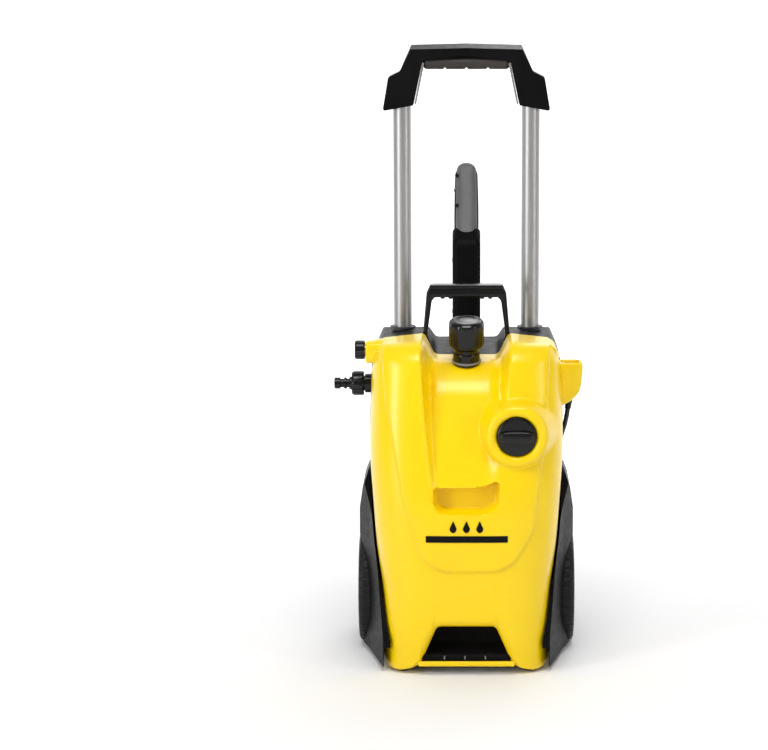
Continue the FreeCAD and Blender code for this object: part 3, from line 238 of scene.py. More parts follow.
YELLOW = (0.92, 0.635, 0.0)
MATERIALS = {
    "cover": finish_nodes("cover_yellow", YELLOW, 0.3, coat=0.12, vary=0.02, grain=0.000003, grain_size=900,
                          rough_vary=0.02, specular=0.36),
    "shell": finish_nodes("shell_black", (0.007, 0.007, 0.0075), 0.36, vary=0.25, grain=0.00003,
                          specular=0.03),
    "gloss_black": finish_nodes("gloss_black", (0.005, 0.005, 0.0055), 0.2, coat=0.1, vary=0.2, grain=0.00001,
                                specular=0.3),
    "grey_trim": finish_nodes("grey_trim", (0.19, 0.185, 0.18), 0.42, vary=0.1, grain=0.00005),
    "print_black": finish_nodes("print_black", (0.003, 0.003, 0.003), 0.45, vary=0.2, grain=0.00001,
                                specular=0.12),
    "inner_plastic": finish_nodes("inner_plastic", (0.05, 0.05, 0.052), 0.5, vary=0.15),
    "wheel_plastic": finish_nodes("wheel_plastic", (0.011, 0.011, 0.012), 0.3, vary=0.2, wear=0.4,
                                  wear_colour=(0.04, 0.04, 0.04)),
    "lance_plastic": finish_nodes("lance_plastic", (0.013, 0.013, 0.014), 0.33, vary=0.2, wear=0.4,
                                  wear_colour=(0.045, 0.045, 0.045)),
    "soft_grip": finish_nodes("soft_grip", (0.034, 0.027, 0.026), 0.5, vary=0.15, grain=0.00012,
                              grain_size=1100, specular=0.4),
    "grip_grey": finish_nodes("grip_grey", (0.13, 0.13, 0.13), 0.42, vary=0.15, grain=0.00008,
                              grain_size=1200, specular=0.4),
    "scale_white": finish_nodes("scale_white", (0.72, 0.72, 0.7), 0.45, vary=0.05, grain=0.00001),
    "rubber": finish_nodes("rubber", (0.01, 0.01, 0.01), 0.48, vary=0.25, grain=0.00015, grain_size=800,
                           specular=0.25),
    "cable_sheath": finish_nodes("cable_sheath", (0.016, 0.016, 0.017), 0.42, vary=0.2, grain=0.00004),
    "tube_metal": finish_nodes("tube_metal", (0.44, 0.435, 0.43), 0.43, metal=1.0, vary=0.02, grain=0.000004,
                               streak=(1.0, 1.0, 0.03), patch_size=90.0, rough_vary=0.02),
    "steel": finish_nodes("steel", (0.45, 0.44, 0.43), 0.32, metal=1.0, vary=0.08, grain=0.00002),
    "laminations": finish_nodes("laminations", (0.18, 0.18, 0.19), 0.45, metal=1.0, vary=0.12, grain=0.0001,
                                streak=(0.05, 0.05, 2.0), grain_size=900),
    "copper_wire": finish_nodes("copper_wire", (0.62, 0.26, 0.09), 0.32, metal=1.0, vary=0.15, grain=0.0002,
                                grain_size=900),
    "cast_alloy": finish_nodes("cast_alloy", (0.36, 0.36, 0.37), 0.5, metal=1.0, vary=0.12, grain=0.0002,
                               grain_size=700),
    "brass": finish_nodes("brass", (0.62, 0.43, 0.15), 0.3, metal=1.0, vary=0.1, grain=0.00003),
}


SLOT_OF = {subpart["node"]: subpart["material_slot"] for subpart in frame["record"]["subparts"]}
for node, obj in NODES.items():
    slot = SLOT_OF[node]
    obj.data.materials.clear()
    obj.data.materials.append(MATERIALS[slot])
    obj.data.polygons.foreach_set("material_index", [0] * len(obj.data.polygons))
cable.data.materials.append(MATERIALS["cable_sheath"])


# ---------------------------------------------------------------- stage and lights
FLOOR_FRONT_Y, WALL_Y, WALL_TOP, HALF_WIDTH = -7.0, 3.0, 9.0, 9
BEND_R = 1.5                                # where the floor turns up into the wall
GLOW_FROM_Y, GLOW_TO_Y, GLOW = -0.2, 2.6, 0.72


def sweep_material():
    """Matt white that glows more towards the back."""
    mat = bpy.data.materials.new("studio_white")
    mat.use_nodes = True
    tree = mat.node_tree
    shader = tree.nodes["Principled BSDF"]
    shader.inputs["Base Color"].default_value = (0.9, 0.9, 0.9, 1)
    shader.inputs["Roughness"].default_value = 0.9
    shader.inputs["Emission Color"].default_value = (1, 1, 1, 1)
    place = tree.nodes.new("ShaderNodeNewGeometry")
    split = tree.nodes.new("ShaderNodeSeparateXYZ")
    ramp = tree.nodes.new("ShaderNodeMapRange")
    ramp.interpolation_type = "SMOOTHSTEP"
    ramp.inputs["From Min"].default_value = GLOW_FROM_Y
    ramp.inputs["From Max"].default_value = GLOW_TO_Y
    ramp.inputs["To Min"].default_value = 0.0
    ramp.inputs["To Max"].default_value = GLOW
    tree.links.new(place.outputs["Position"], split.inputs[0])
    tree.links.new(split.outputs["Y"], ramp.inputs["Value"])
    tree.links.new(ramp.outputs["Result"], shader.inputs["Emission Strength"])
    return mat


def sweep():
    """Pale studio floor that curves up into a bright backdrop."""
    profile = [(FLOOR_FRONT_Y, 0.0), (0.6, 0.0), (WALL_Y, 0.0)]
    for degrees in range(10, 91, 10):
        a = math.radians(degrees)
        profile.append((WALL_Y + BEND_R * math.sin(a), BEND_R - BEND_R * math.cos(a)))
    profile.append((WALL_Y + BEND_R, WALL_TOP))
    verts = [(side * HALF_WIDTH, y, z) for y, z in profile for side in (-1, 1)]
    faces = [(2 * i, 2 * i + 1, 2 * i + 3, 2 * i + 2) for i in range(len(profile) - 1)]
    data = bpy.data.meshes.new("studio_sweep")
    data.from_pydata(verts, [], faces)
    data.polygons.foreach_set("use_smooth", [True] * len(faces))
    data.materials.append(sweep_material())
    link(bpy.data.objects.new("studio_sweep", data))


def area(name, place, aim, size, power, size_y=None):
    """Soft box at a place, facing aim; power in watts."""
    data = bpy.data.lights.new(name, "AREA")
    data.shape = "RECTANGLE"
    data.size = size
    data.size_y = size_y or size
    data.energy = power
    lamp = link(bpy.data.objects.new(name, data))
    lamp.location = place
    lamp.rotation_euler = (Vector(aim) - Vector(place)).to_track_quat("-Z", "Y").to_euler()


sweep()
area("key", (-2.2, -1.9, 1.05), (0, 0, 0.4), 0.6, 33, 1.7)
area("fill", (2.3, -1.5, 1.05), (0, 0, 0.4), 0.35, 13, 1.7)
area("top", (0.0, -1.3, 2.8), (0, -0.1, 0.3), 1.6, 43, 1.0)
area("back", (0.6, 2.2, 2.2), (0, 0, 0.4), 1.4, 16)
world = bpy.data.worlds.new("world")
world.use_nodes = True
background = world.node_tree.nodes["Background"]
background.inputs["Color"].default_value = (1, 1, 1, 1)
background.inputs["Strength"].default_value = 0.3
SCENE.world = world
SCENE.view_settings.view_transform = "Standard"


# ---------------------------------------------------------------- mesh helpers
MERGE_M, FLAT_M = 2e-6, 1e-7


def piece(name, verts, faces, slot, body, replaces=(), sharp_deg=40.0):
    """A shown piece from points in millimetres; edges sharper than the angle stay crisp."""
    data = bpy.data.meshes.new(name)
    faces = [tuple(int(i) for i in face) for face in faces]
    data.from_pydata([tuple(c * MM for c in v) for v in verts], [], faces)
    data.validate()
    tidy = bmesh.new()
    tidy.from_mesh(data)
    bmesh.ops.remove_doubles(tidy, verts=tidy.verts, dist=MERGE_M)
    bmesh.ops.dissolve_degenerate(tidy, edges=tidy.edges, dist=FLAT_M)
    bmesh.ops.recalc_face_normals(tidy, faces=tidy.faces)
    tidy.to_mesh(data)
    tidy.free()
    data.polygons.foreach_set("use_smooth", [True] * len(data.polygons))
    data.set_sharp_from_angle(angle=math.radians(sharp_deg))
    data.materials.append(MATERIALS[slot])
    obj = link(bpy.data.objects.new(name, data))
    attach(obj, body)
    if replaces:
        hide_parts(*replaces)
    return obj


def soft_line(points, closed=False, arc_steps=6):
    """Polyline with each (a, b, radius) corner rounded by an arc."""
    result = []
    count = len(points)
    for i, (a, b, radius) in enumerate(points):
        if radius <= 0 or (not closed and i in (0, count - 1)):
            result.append((a, b))
            continue
        here = Vector((a, b))
        before = Vector(points[i - 1][:2]) - here
        after = Vector(points[(i + 1) % count][:2]) - here
        half = before.angle(after) / 2
        if half > math.radians(89):
            result.append((a, b))
            continue
        reach = min(radius / math.tan(half), 0.48 * before.length, 0.48 * after.length)
        radius = reach * math.tan(half)
        before.normalize()
        after.normalize()
        centre = here + (before + after).normalized() * (radius / math.sin(half))
        start, stop = here + before * reach - centre, here + after * reach - centre
        sweep_angle = math.atan2(start.x * stop.y - start.y * stop.x, start.dot(stop))
        for k in range(arc_steps + 1):
            turn = sweep_angle * k / arc_steps
            c, s = math.cos(turn), math.sin(turn)
            result.append((centre.x + start.x * c - start.y * s, centre.y + start.x * s + start.y * c))
    return result


def lathe(profile, base, axis, segments=96, shape=None):
    """Turned form: profile is a closed line of (radius, height) pairs, and shape may change the radius."""
    verts, faces = [], []
    direction = Vector(axis).normalized()
    turn_to = Vector((0, 0, 1)).rotation_difference(direction)
    count = len(profile)
    for radius, height in profile:
        for k in range(segments):
            a = 2 * math.pi * k / segments
            r = shape(radius, height, a) if shape else radius
            verts.append(Vector(base) + turn_to @ Vector((r * math.cos(a), r * math.sin(a), height)))
    for i in range(count):
        j = (i + 1) % count
        for k in range(segments):
            n = (k + 1) % segments
            faces.append((i * segments + k, i * segments + n, j * segments + n, j * segments + k))
    return verts, faces


def stack(*parts):
    """Several (verts, faces) as one."""
    verts, faces = [], []
    for more, their in parts:
        shift = len(verts)
        verts += list(more)
        faces += [tuple(i + shift for i in f) for f in their]
    return verts, faces


def inset_line(points, amount):
    """Closed outline drawn in by amount; the outline runs anticlockwise."""
    count = len(points)
    result = []
    for i in range(count):
        p, q, r = Vector(points[i - 1]), Vector(points[i]), Vector(points[(i + 1) % count])
        e, f = (q - p), (r - q)
        if e.length < 1e-9 or f.length < 1e-9:
            result.append(tuple(q))
            continue
        e.normalize()
        f.normalize()
        n = Vector((-e.y - f.y, e.x + f.x))
        if n.length < 1e-6:
            result.append(tuple(q))
            continue
        n.normalize()
        along = max(0.5, n.dot(Vector((-e.y, e.x))))
        result.append(tuple(q + n * (amount / along)))
    return result


def area_of(points):
    """Area of a closed outline, positive when it runs anticlockwise."""
    pairs = [(points[i - 1], points[i]) for i in range(len(points))]
    return 0.5 * sum(p[0] * q[1] - q[0] * p[1] for p, q in pairs)


PLANES = {
    "xz": lambda a, b, depth: (a, depth, b),
    "xy": lambda a, b, depth: (a, b, depth),
    "yz": lambda a, b, depth: (depth, a, b),
}


def prism(plane, outline, low, high, bevel, steps=4):
    """Block between two depths of a drawing plane, with both rims rounded by bevel."""
    points = soft_line(outline, closed=True)
    if area_of(points) < 0:
        points.reverse()
    place = PLANES[plane]
    verts, faces, rings = [], [], []
    for k in range(steps + 1):
        a = math.pi / 2 * k / steps
        rings.append((bevel * (1 - math.sin(a)), low + bevel * (1 - math.cos(a))))
    for k in range(steps + 1):
        a = math.pi / 2 * k / steps
        rings.append((bevel * (1 - math.cos(a)), high - bevel * (1 - math.sin(a))))
    for inset, depth in rings:
        ring = inset_line(points, inset) if inset > 1e-6 else points
        verts += [place(a, b, depth) for a, b in ring]
    n = len(points)
    for i in range(len(rings) - 1):
        for k in range(n):
            m = (k + 1) % n
            faces.append((i * n + k, i * n + m, (i + 1) * n + m, (i + 1) * n + k))
    for start in (0, (len(rings) - 1) * n):
        flat = [Vector(verts[start + i]) for i in range(n)]
        faces += [tuple(start + i for i in tri) for tri in tessellate_polygon([flat])]
    return verts, faces


# ---------------------------------------------------------------- yellow cover
SEAM_Y = -15.0                              # where the cover meets the shell
LEVELS = np.array((                         # height, half width, front, and power of the rounded section
    (4.0, 115.0, -150.0, 5.0), (55.0, 117.0, -156.0, 4.6), (110.0, 118.5, -158.0, 4.2),
    (170.0, 125.0, -158.0, 4.0), (230.0, 129.5, -156.0, 4.0), (300.0, 133.5, -147.0, 4.0),
    (370.0, 132.0, -133.0, 4.0), (425.0, 130.0, -117.0, 3.8), (460.0, 129.0, -104.0, 3.8),
))
PANEL = ((-118, 480, 0), (-112, 382, 60), (-87, 245, 60), (-60, 160, 26), (-30, 145, 40), (44, 146, 30),
         (66, 158, 26), (92, 200, 60), (108, 330, 60), (116, 480, 0))
PANEL_PROUD = 3.4
POCKET = ((-45, 227, 25), (45, 227, 25), (45, 273, 6), (30, 266, 14), (12, 262.5, 20), (-45, 262.5, 5))
POCKET_DEPTH = 23.0
VALLEY_FLOOR = np.array(((262.0, -153.0), (280.0, -147.0), (300.0, -140.0), (330.0, -129.5),
                         (370.0, -113.5), (410.0, -97.0), (470.0, -84.0)))      # height, floor
VALLEY_SIDES = np.array(((266.0, -46.5, 49.0), (330.0, -54.0, 51.0), (410.0, -60.5, 56.0),
                         (470.0, -62.0, 58.0)))                                 # height, left, right
VALLEY_LOW, VALLEY_HIGH = 258.0, 432.0
LEFT_FLANK, RIGHT_FLANK = 8.5, 25.0         # widths of the valley's steep and gentle sides
RIM_PROUD, RIM_WIDTH = 1.2, 2.9             # the bead along the left edge of the valley
TOP = ((0, 423, 0), (44, 423, 10), (58, 453, 7), (117, 446, 17), (131.5, 414, 14), (134, 380, 0))
BOTTOM = ((0, 68, 0), (40, 68, 9), (63, 13, 5), (80, 7, 8), (92, 4, 10), (105, 4.5, 8), (116, 13, 4),
          (140, 14, 0))
KNOB = (68.0, 332.0)                        # middle of the switch in the front view
COLLAR_R, COLLAR_ROUND, COLLAR_SIDE, COLLAR_Y = 34.8, 8.5, 8.2, -155.5
WELL_R, WELL_Y = 27.6, -139                 # the recess that the switch turns in
COLLAR_BLEND = 3.6                          # how softly the collar runs into the front


def hermite(x, xs, ys):
    """Smooth curve through points, evaluated at x."""
    slopes = np.gradient(ys, xs, axis=0)
    i = np.clip(np.searchsorted(xs, x) - 1, 0, len(xs) - 2)
    h = xs[i + 1] - xs[i]
    t = np.clip((x - xs[i]) / h, -0.2, 1.2)
    return ((2 * t ** 3 - 3 * t ** 2 + 1) * ys[i] + (t ** 3 - 2 * t ** 2 + t) * h * slopes[i]
            + (-2 * t ** 3 + 3 * t ** 2) * ys[i + 1] + (t ** 3 - t ** 2) * h * slopes[i + 1])


def step_up(t):
    t = np.clip(t, 0, 1)
    return t * t * (3 - 2 * t)


def inside_distance(x, z, outline):
    """Distance to a closed outline, positive inside."""
    points = np.array(soft_line(outline, closed=True))
    best = np.full(x.shape, 1e9)
    inside = np.zeros(x.shape, bool)
    for (ax, az), (bx, bz) in zip(points, np.roll(points, -1, axis=0)):
        ex, ez = bx - ax, bz - az
        length = ex * ex + ez * ez
        if length < 1e-9:
            continue
        t = np.clip(((x - ax) * ex + (z - az) * ez) / length, 0, 1)
        best = np.minimum(best, (x - ax - t * ex) ** 2 + (z - az - t * ez) ** 2)
        crosses = (az > z) != (bz > z)
        with np.errstate(divide="ignore", invalid="ignore"):
            at = ax + (z - az) / (bz - az if abs(bz - az) > 1e-12 else 1e-12) * ex
        inside ^= crosses & (x < at)
    return np.where(inside, 1, -1) * np.sqrt(best)


def curve_over(points):
    """Height and slope of a profile at |x|."""
    line_points = np.array(soft_line(points, arc_steps=16))
    fine = np.linspace(0, line_points[-1, 0], 1200)
    height = np.interp(fine, line_points[:, 0], line_points[:, 1])
    slope = np.gradient(height, fine)
    return lambda x: (np.interp(np.abs(x), fine, height), np.interp(np.abs(x), fine, slope))


top_at, bottom_at = curve_over(TOP), curve_over(BOTTOM)


def section(turn, z):
    """Point and outward normal of the cover's rounded-box section at angle turn and height z."""
    half = hermite(z, LEVELS[:, 0], LEVELS[:, 1])
    depth = SEAM_Y - hermite(z, LEVELS[:, 0], LEVELS[:, 2])
    power = hermite(z, LEVELS[:, 0], LEVELS[:, 3])
    c, s = np.cos(turn), np.maximum(np.sin(turn), 0)
    x = np.sign(c) * np.abs(c) ** (2 / power) * half
    y = SEAM_Y - s ** (2 / power) * depth
    nx = np.sign(c) * np.abs(x / half) ** (power - 1) / half
    ny = -np.abs((y - SEAM_Y) / depth) ** (power - 1) / depth
    size = np.sqrt(nx ** 2 + ny ** 2)
    return x, y, nx / size, ny / size


def roll(distance, radius):
    """How far a surface has turned away at that distance from its rim."""
    near = np.clip(radius - distance, 0, radius)
    return radius - np.sqrt(np.maximum(radius ** 2 - near ** 2, 0))


def relief(x, z, y, nx, ny):
    """Raised panel, valley, pocket and switch collar on the front."""
    front = step_up((-ny - 0.25) / 0.3)
    raised = PANEL_PROUD * step_up((inside_distance(x, z, PANEL) + 0.8) / 5.0)
    x = x + nx * raised
    y = y + ny * raised
    floor_y = hermite(z, VALLEY_FLOOR[:, 0], VALLEY_FLOOR[:, 1])
    flat_y = hermite(z, LEVELS[:, 0], LEVELS[:, 2]) - PANEL_PROUD
    depth = np.maximum(floor_y - flat_y, 0)
    left = hermite(z, VALLEY_SIDES[:, 0], VALLEY_SIDES[:, 1])
    right = hermite(z, VALLEY_SIDES[:, 0], VALLEY_SIDES[:, 2])
    s = (x - left) / LEFT_FLANK
    s = np.minimum(0.5 * (s + np.sqrt(s * s + 0.02)), 1)
    across = np.sin(math.pi / 2 * s) * step_up((right - x) / RIGHT_FLANK)
    valley = depth * across * step_up((z - VALLEY_LOW - 0.5) / 5.0)
    dent = inside_distance(x, z, POCKET)
    pocket = POCKET_DEPTH * np.sin(math.pi / 2 * np.clip((dent + 0.4) / 5.5, 0, 1)) ** 1.2
    rim = np.exp(-((x - left + 1.6) / RIM_WIDTH) ** 2) * step_up(depth / 6)
    rim = rim * step_up((z - VALLEY_LOW) / 12) * step_up((VALLEY_HIGH - z) / 30)
    y = y + front * (np.maximum(valley, pocket) - RIM_PROUD * rim)
    r = np.hypot(x - KNOB[0], z - KNOB[1])
    tube = np.clip(np.abs(r - COLLAR_R), 0, COLLAR_SIDE)
    collar = COLLAR_Y + COLLAR_ROUND - np.sqrt(COLLAR_ROUND ** 2 - tube ** 2)
    collar = collar + np.maximum(r - COLLAR_R - COLLAR_SIDE, 0) * 3.2
    collar = np.where(r < WELL_R, np.minimum(collar + (WELL_R - r) * 6, WELL_Y), collar)
    h = np.clip(0.5 + 0.5 * (y - collar) / COLLAR_BLEND, 0, 1)
    merged = y * (1 - h) + collar * h - COLLAR_BLEND * h * (1 - h)
    merged = np.where(r < COLLAR_R, collar, merged)
    return x, np.where((r < 60) & (front > 0.5), merged, y)


COLUMNS_ROUND = 292                         # points across the cover, from seam to seam
LOW_BAND, HIGH_BAND = 0.055, 0.075          # shares of the height with closer rows, for the rolled edges
EXTENSION_Y = -60                           # the top edge in front of this is carried back to the seam


def even_turns():
    """Angles that space the columns evenly round a typical section."""
    t = np.linspace(0, math.pi, 6001)
    across = np.sign(np.cos(t)) * np.abs(np.cos(t)) ** 0.5 * 129
    along = np.maximum(np.sin(t), 0) ** 0.5 * 138
    run = np.concatenate(([0], np.cumsum(np.hypot(np.diff(across), np.diff(along)))))
    return np.interp(np.linspace(0, run[-1], COLUMNS_ROUND), run, t)


def cover_surface(share):
    """Grid of the cover's front and sides between its two outlines, and its normals."""
    turn, q = np.meshgrid(even_turns(), share)
    z = 4 + 420 * q
    x, y, nx, ny = section(turn, z)
    for _ in range(14):         # height depends on x, and x on height, so they settle in turns
        top, top_slope = top_at(x)
        bottom, bottom_slope = bottom_at(x)
        z = 0.4 * z + 0.6 * (bottom + (top - bottom) * q)
        bx, by, nx, ny = section(turn, z)
        facing = ny ** 2        # the rolled edges are widest on the front, above all at the saddle
        saddle = step_up((66 - np.abs(x)) / 22)
        top_r = 5 + (23 + 16 * saddle) * facing
        low_r = 4 + 8 * step_up((76 - np.abs(x)) / 12) * facing
        away = (roll((top - z) / np.sqrt(1 + top_slope ** 2), top_r)
                + roll((z - bottom) / np.sqrt(1 + bottom_slope ** 2), low_r))
        x, y = bx - nx * away, by - ny * away
    x, y = relief(x, z, y, nx, ny)
    return x, y, z, nx, ny


def cover_mesh():
    """Front and sides, the flat top back to the seam, and the lower edge turned inwards."""
    columns = COLUMNS_ROUND
    share = np.concatenate((LOW_BAND * np.linspace(0, 1, 22) ** 2,
                            np.linspace(LOW_BAND, 1 - HIGH_BAND, 204)[1:-1],
                            1 - HIGH_BAND * np.linspace(1, 0, 30) ** 2))
    x, y, z, nx, ny = cover_surface(share)
    rows = len(share)
    verts = np.stack((x, y, z), -1).reshape(-1, 3).tolist()
    faces = []
    for i in range(rows - 1):
        for k in range(columns - 1):
            a = i * columns + k
            faces.append((a, a + 1, a + columns + 1, a + columns))

    edge = (rows - 1) * columns
    side = int(np.argmax(y[-1] < EXTENSION_Y))
    other = columns - 1 - side
    previous = list(range(edge + side, edge + other + 1))
    front_y = y[-1, side]
    for k in range(1, side + 1):
        back = 1.0 if k == side else (y[-1, side - k] - front_y) / (SEAM_Y - front_y)
        row = [edge + side - k]
        for c in range(side + 1, other):
            row.append(len(verts))
            verts.append((x[-1, c], y[-1, c] + (SEAM_Y - y[-1, c]) * back, z[-1, c]))
        row.append(edge + other + k)
        for c in range(len(row) - 1):
            faces.append((previous[c], previous[c + 1], row[c + 1], row[c]))
        previous = row

    rim = list(range(columns))
    for back in (1.5, 4.0, 8.0, 13.0):
        row = []
        for c in range(columns):
            row.append(len(verts))
            verts.append((x[0, c] + nx[0, c] * -back, y[0, c] - ny[0, c] * back, z[0, c] + 0.3 * back / 13))
        for c in range(columns - 1):
            faces.append((rim[c], rim[c + 1], row[c + 1], row[c]))
        rim = row
    return verts, faces


piece("cover_shell", *cover_mesh(), "cover", "machine", ("front_housing",), sharp_deg=65)


def panel_y(x, z):
    """Front of the raised panel at a point of the front view."""
    half = hermite(z, LEVELS[:, 0], LEVELS[:, 1])
    depth = SEAM_Y - hermite(z, LEVELS[:, 0], LEVELS[:, 2])
    power = hermite(z, LEVELS[:, 0], LEVELS[:, 3])
    return SEAM_Y - depth * (1 - np.abs(x / half) ** power) ** (1 / power) - PANEL_PROUD


def printed(outlines, thick=0.7, rings=5):
    """Thin print lying on the panel: each outline is filled by rings towards its middle line."""
    parts = []
    for outline in outlines:
        points = np.array(soft_line(outline, closed=True, arc_steps=5))
        dense = []
        for p, q in zip(points, np.roll(points, -1, axis=0)):
            n = max(1, int(np.hypot(*(q - p)) / 3))
            dense += [p + (q - p) * i / n for i in range(n)]
        dense = np.array(dense)
        middle = dense.mean(0)
        count = len(dense)
        verts, faces = [], []
        spine = dense.copy()
        spine[:, 1] = middle[1]
        inward = [(thick, (k + 1) / rings) for k in range(rings)]
        for lift, share in [(0.0, 0.0), (thick, 0.0)] + inward:
            ring = dense + (spine - dense) * share * 0.999
            for px, pz in ring:
                verts.append((px, float(panel_y(np.array(px), np.array(pz))) - lift, pz))
        for i in range(rings + 1):
            for k in range(count):
                m = (k + 1) % count
                faces.append((i * count + k, i * count + m, (i + 1) * count + m, (i + 1) * count + k))
        parts.append((verts, faces))
    return stack(*parts)


BAR = ((-55, 188.5, 0.6), (56, 188.5, 0.6), (56, 197.5, 0.6), (-55, 197.5, 0.6))
DROPS = [((x - 5.5, 206, 4.5), (x, 200.5, 3), (x + 5.5, 206, 4.5), (x, 218.5, 0.6))
         for x in (-18, 0, 18)]
piece("panel_print", *printed([BAR] + DROPS), "print_black", "machine", ("front_stripe",))


def loft(rings):
    """Skin over rings of equal point count; the ends are closed."""
    n = len(rings[0])
    verts = [p for ring in rings for p in ring]
    faces = []
    for i in range(len(rings) - 1):
        for k in range(n):
            m = (k + 1) % n
            faces.append((i * n + k, i * n + m, (i + 1) * n + m, (i + 1) * n + k))
    faces.append(tuple(range(n - 1, -1, -1)))
    faces.append(tuple(range((len(rings) - 1) * n, len(rings) * n)))
    return verts, faces


def squircle(half_a, half_b, power, count=48):
    """Closed rounded-box outline about the origin."""
    points = []
    for k in range(count):
        a = 2 * math.pi * k / count
        c, s = math.cos(a), math.sin(a)
        points.append((math.copysign(abs(c) ** (2 / power), c) * half_a,
                       math.copysign(abs(s) ** (2 / power), s) * half_b))
    return points


def stub_mesh():
    """Rounded yellow sleeve that carries the high-pressure outlet."""
    rings = []
    for x, grow, power in ((-100, 0, 3), (-112, 2.5, 3), (-121, 2.2, 3), (-126, 1.0, 3.4), (-130, 0.2, 3.8),
                           (-136.5, 0, 4), (-138.2, -0.7, 4), (-139, -2.2, 4), (-139.2, -5.5, 3)):
        rings.append([(x, -38 + a, 430.5 + b) for a, b in squircle(16 + grow, 15.2 + grow, power)])
    return loft(rings)


piece("cover_outlet_stub", *stub_mesh(), "cover", "machine")


HOOK_Y = -34
HOOK_WALL = (                               # height, outermost x, half depth: up the outside
    (347, 119, 7), (350, 123, 10), (353, 128, 12.6), (357, 136, 15.2), (362, 144.5, 17), (368, 151.5, 18),
    (375, 156.5, 18.5), (384, 159.2, 18.5), (396, 160.4, 18.5), (408, 161.1, 18.5), (412.5, 161.0, 18.3),
    (415.2, 160.0, 17.6), (416.4, 158.6, 16.4),
)
HOOK_TROUGH = (                             # and down the inside
    (416.2, 156.6, 14.6), (414.8, 155.4, 13.4), (411, 154.8, 12.8), (400, 154.2, 12.4),
    (390, 152.6, 12.0), (384, 150, 11), (381, 146, 8.5), (380.2, 140, 4),
)


def hook_mesh():
    """Scooped ear for the wound cable: an outer wall round a trough that is open at the top."""
    rings = []
    for z, out, half_y in HOOK_WALL:
        low = 112
        rings.append([((low + out) / 2 + a, HOOK_Y + b, z)
                      for a, b in squircle((out - low) / 2, half_y, 4.2, 72)])
    for z, out, half_y in HOOK_TROUGH:
        low = 130.0 if z > 385 else 131.0 + (385 - z)
        rings.append([((low + out) / 2 + a, HOOK_Y + b, z)
                      for a, b in squircle((out - low) / 2, half_y, 3.6, 72)])
    return loft(rings)


piece("cover_cable_hook", *hook_mesh(), "cover", "machine")
FOOT_BAR = ((-66, 12.5, 2), (66, 12.5, 2), (66, 19.5, 2), (-66, 19.5, 2))
piece("cover_foot_bar", *prism("xz", FOOT_BAR, -151, -147, 1.4), "cover", "machine")
TICK = ((-0.9, 21.6, 0.4), (0.9, 21.6, 0.4), (0.9, 26.4, 0.4), (-0.9, 26.4, 0.4))
ticks = [prism("xz", [(x + a, b, r) for a, b, r in TICK], -147.1, -145.4, 0.3) for x in (-30, -2, 26)]
piece("grip_lip_ticks", *stack(*ticks), "grey_trim", "machine")


def softened(profile, radius):
    """A turned profile with every corner off the axis rounded."""
    return soft_line([(a, b, radius if a > 0.01 else 0) for a, b in profile], closed=True, arc_steps=3)


def turned_piece(name, profile, base, axis, slot, body, replaces=(), radius=0.5, segments=96, shape=None):
    """A shown piece turned about an axis, with its corners rounded by radius."""
    return piece(name, *lathe(softened(profile, radius), base, axis, segments, shape), slot, body, replaces)


# ---------------------------------------------------------------- switch, hook, carry handle
turned_piece("switch_disc", ((0, -1), (27, -1), (27.3, 8), (26.2, 10.6), (23.8, 11.6), (0, 11.6)),
             (KNOB[0], -141, KNOB[1]), (0, -1, 0), "gloss_black", "switch_knob", ("switch_knob",), radius=0.8)


def switch_bar_mesh():
    """Raised bar across the switch that fingers turn it by."""
    rings = []
    for y, grow in ((-149, 0), (-156.5, -0.4), (-159.2, -1.0), (-160.5, -2.2), (-161, -4.4)):
        rings.append([(KNOB[0] + a, y, KNOB[1] + b) for a, b in squircle(23.5 + grow, 9 + grow, 3.4)])
    return loft(rings)


piece("switch_bar", *switch_bar_mesh(), "gloss_black", "switch_knob")

LEAN = (0.0, -math.sin(math.radians(12)), math.cos(math.radians(12)))
BOLLARD = (0, -66.0, 431.0)


def fluted(radius, height, a):
    """Fine flutes round the bollard's waist."""
    return radius - (0.45 * (0.5 + 0.5 * math.cos(20 * a)) ** 2 if 16.5 < height < 45 and radius > 20 else 0)


turned_piece("hose_bollard", ((0, 0), (17, 0), (17.2, 9.5), (20, 12.5), (23.2, 14), (24.2, 17), (24.2, 44.5),
                              (23.4, 47.5), (21, 49.6), (17.5, 50.8), (16.8, 50.2), (9, 51), (0, 51.2)),
             BOLLARD, LEAN, "gloss_black", "machine", ("hose_hook",), radius=0.9, segments=200,
             shape=fluted)
turned_piece("bollard_foot", ((17.1, -13), (18.6, -13), (18.6, 3), (17.9, 4.5), (17.1, 4.5)),
             BOLLARD, LEAN, "gloss_black", "machine", ("hook_collar",))
turned_piece("bollard_foot_ring", ((18.2, -10), (19.9, -10), (19.9, -8), (19.2, -7), (18.2, -7)),
             BOLLARD, LEAN, "grey_trim", "machine")


def mirrored(points):
    """The other half of an outline that is the same left and right."""
    return tuple((-x, z, r) for x, z, r in reversed(points))


OUTER_LEG = ((60, 434, 0), (60, 456, 6), (55.5, 508, 8), (50, 519.5, 8))
INNER_LEG = ((44, 501.6, 3), (48, 497, 7), (53.5, 456, 6), (53.5, 434, 0))
ARCH = OUTER_LEG + mirrored(OUTER_LEG) + mirrored(INNER_LEG) + INNER_LEG
ARCH_TOP = ((-52.5, 513.6, 1.2), (52.5, 513.6, 1.2), (51, 519.3, 3), (-51, 519.3, 3))
grip_underside = []
for cx in (-33, -22, 22, 33):
    grip_underside.append(prism("xz", ((cx - 3.4, 503, 1), (cx - 2.2, 499.8, 1.2), (cx + 2.2, 499.8, 1.2),
                                       (cx + 3.4, 503, 1)), -10, 10, 0.8))
piece("carry_arch", *stack(prism("xz", ARCH, -9.4, 11, 2.2), prism("xz", ARCH_TOP, -11.6, 10.6, 1.4),
                           *grip_underside), "gloss_black", "machine", ("carry_handle",))

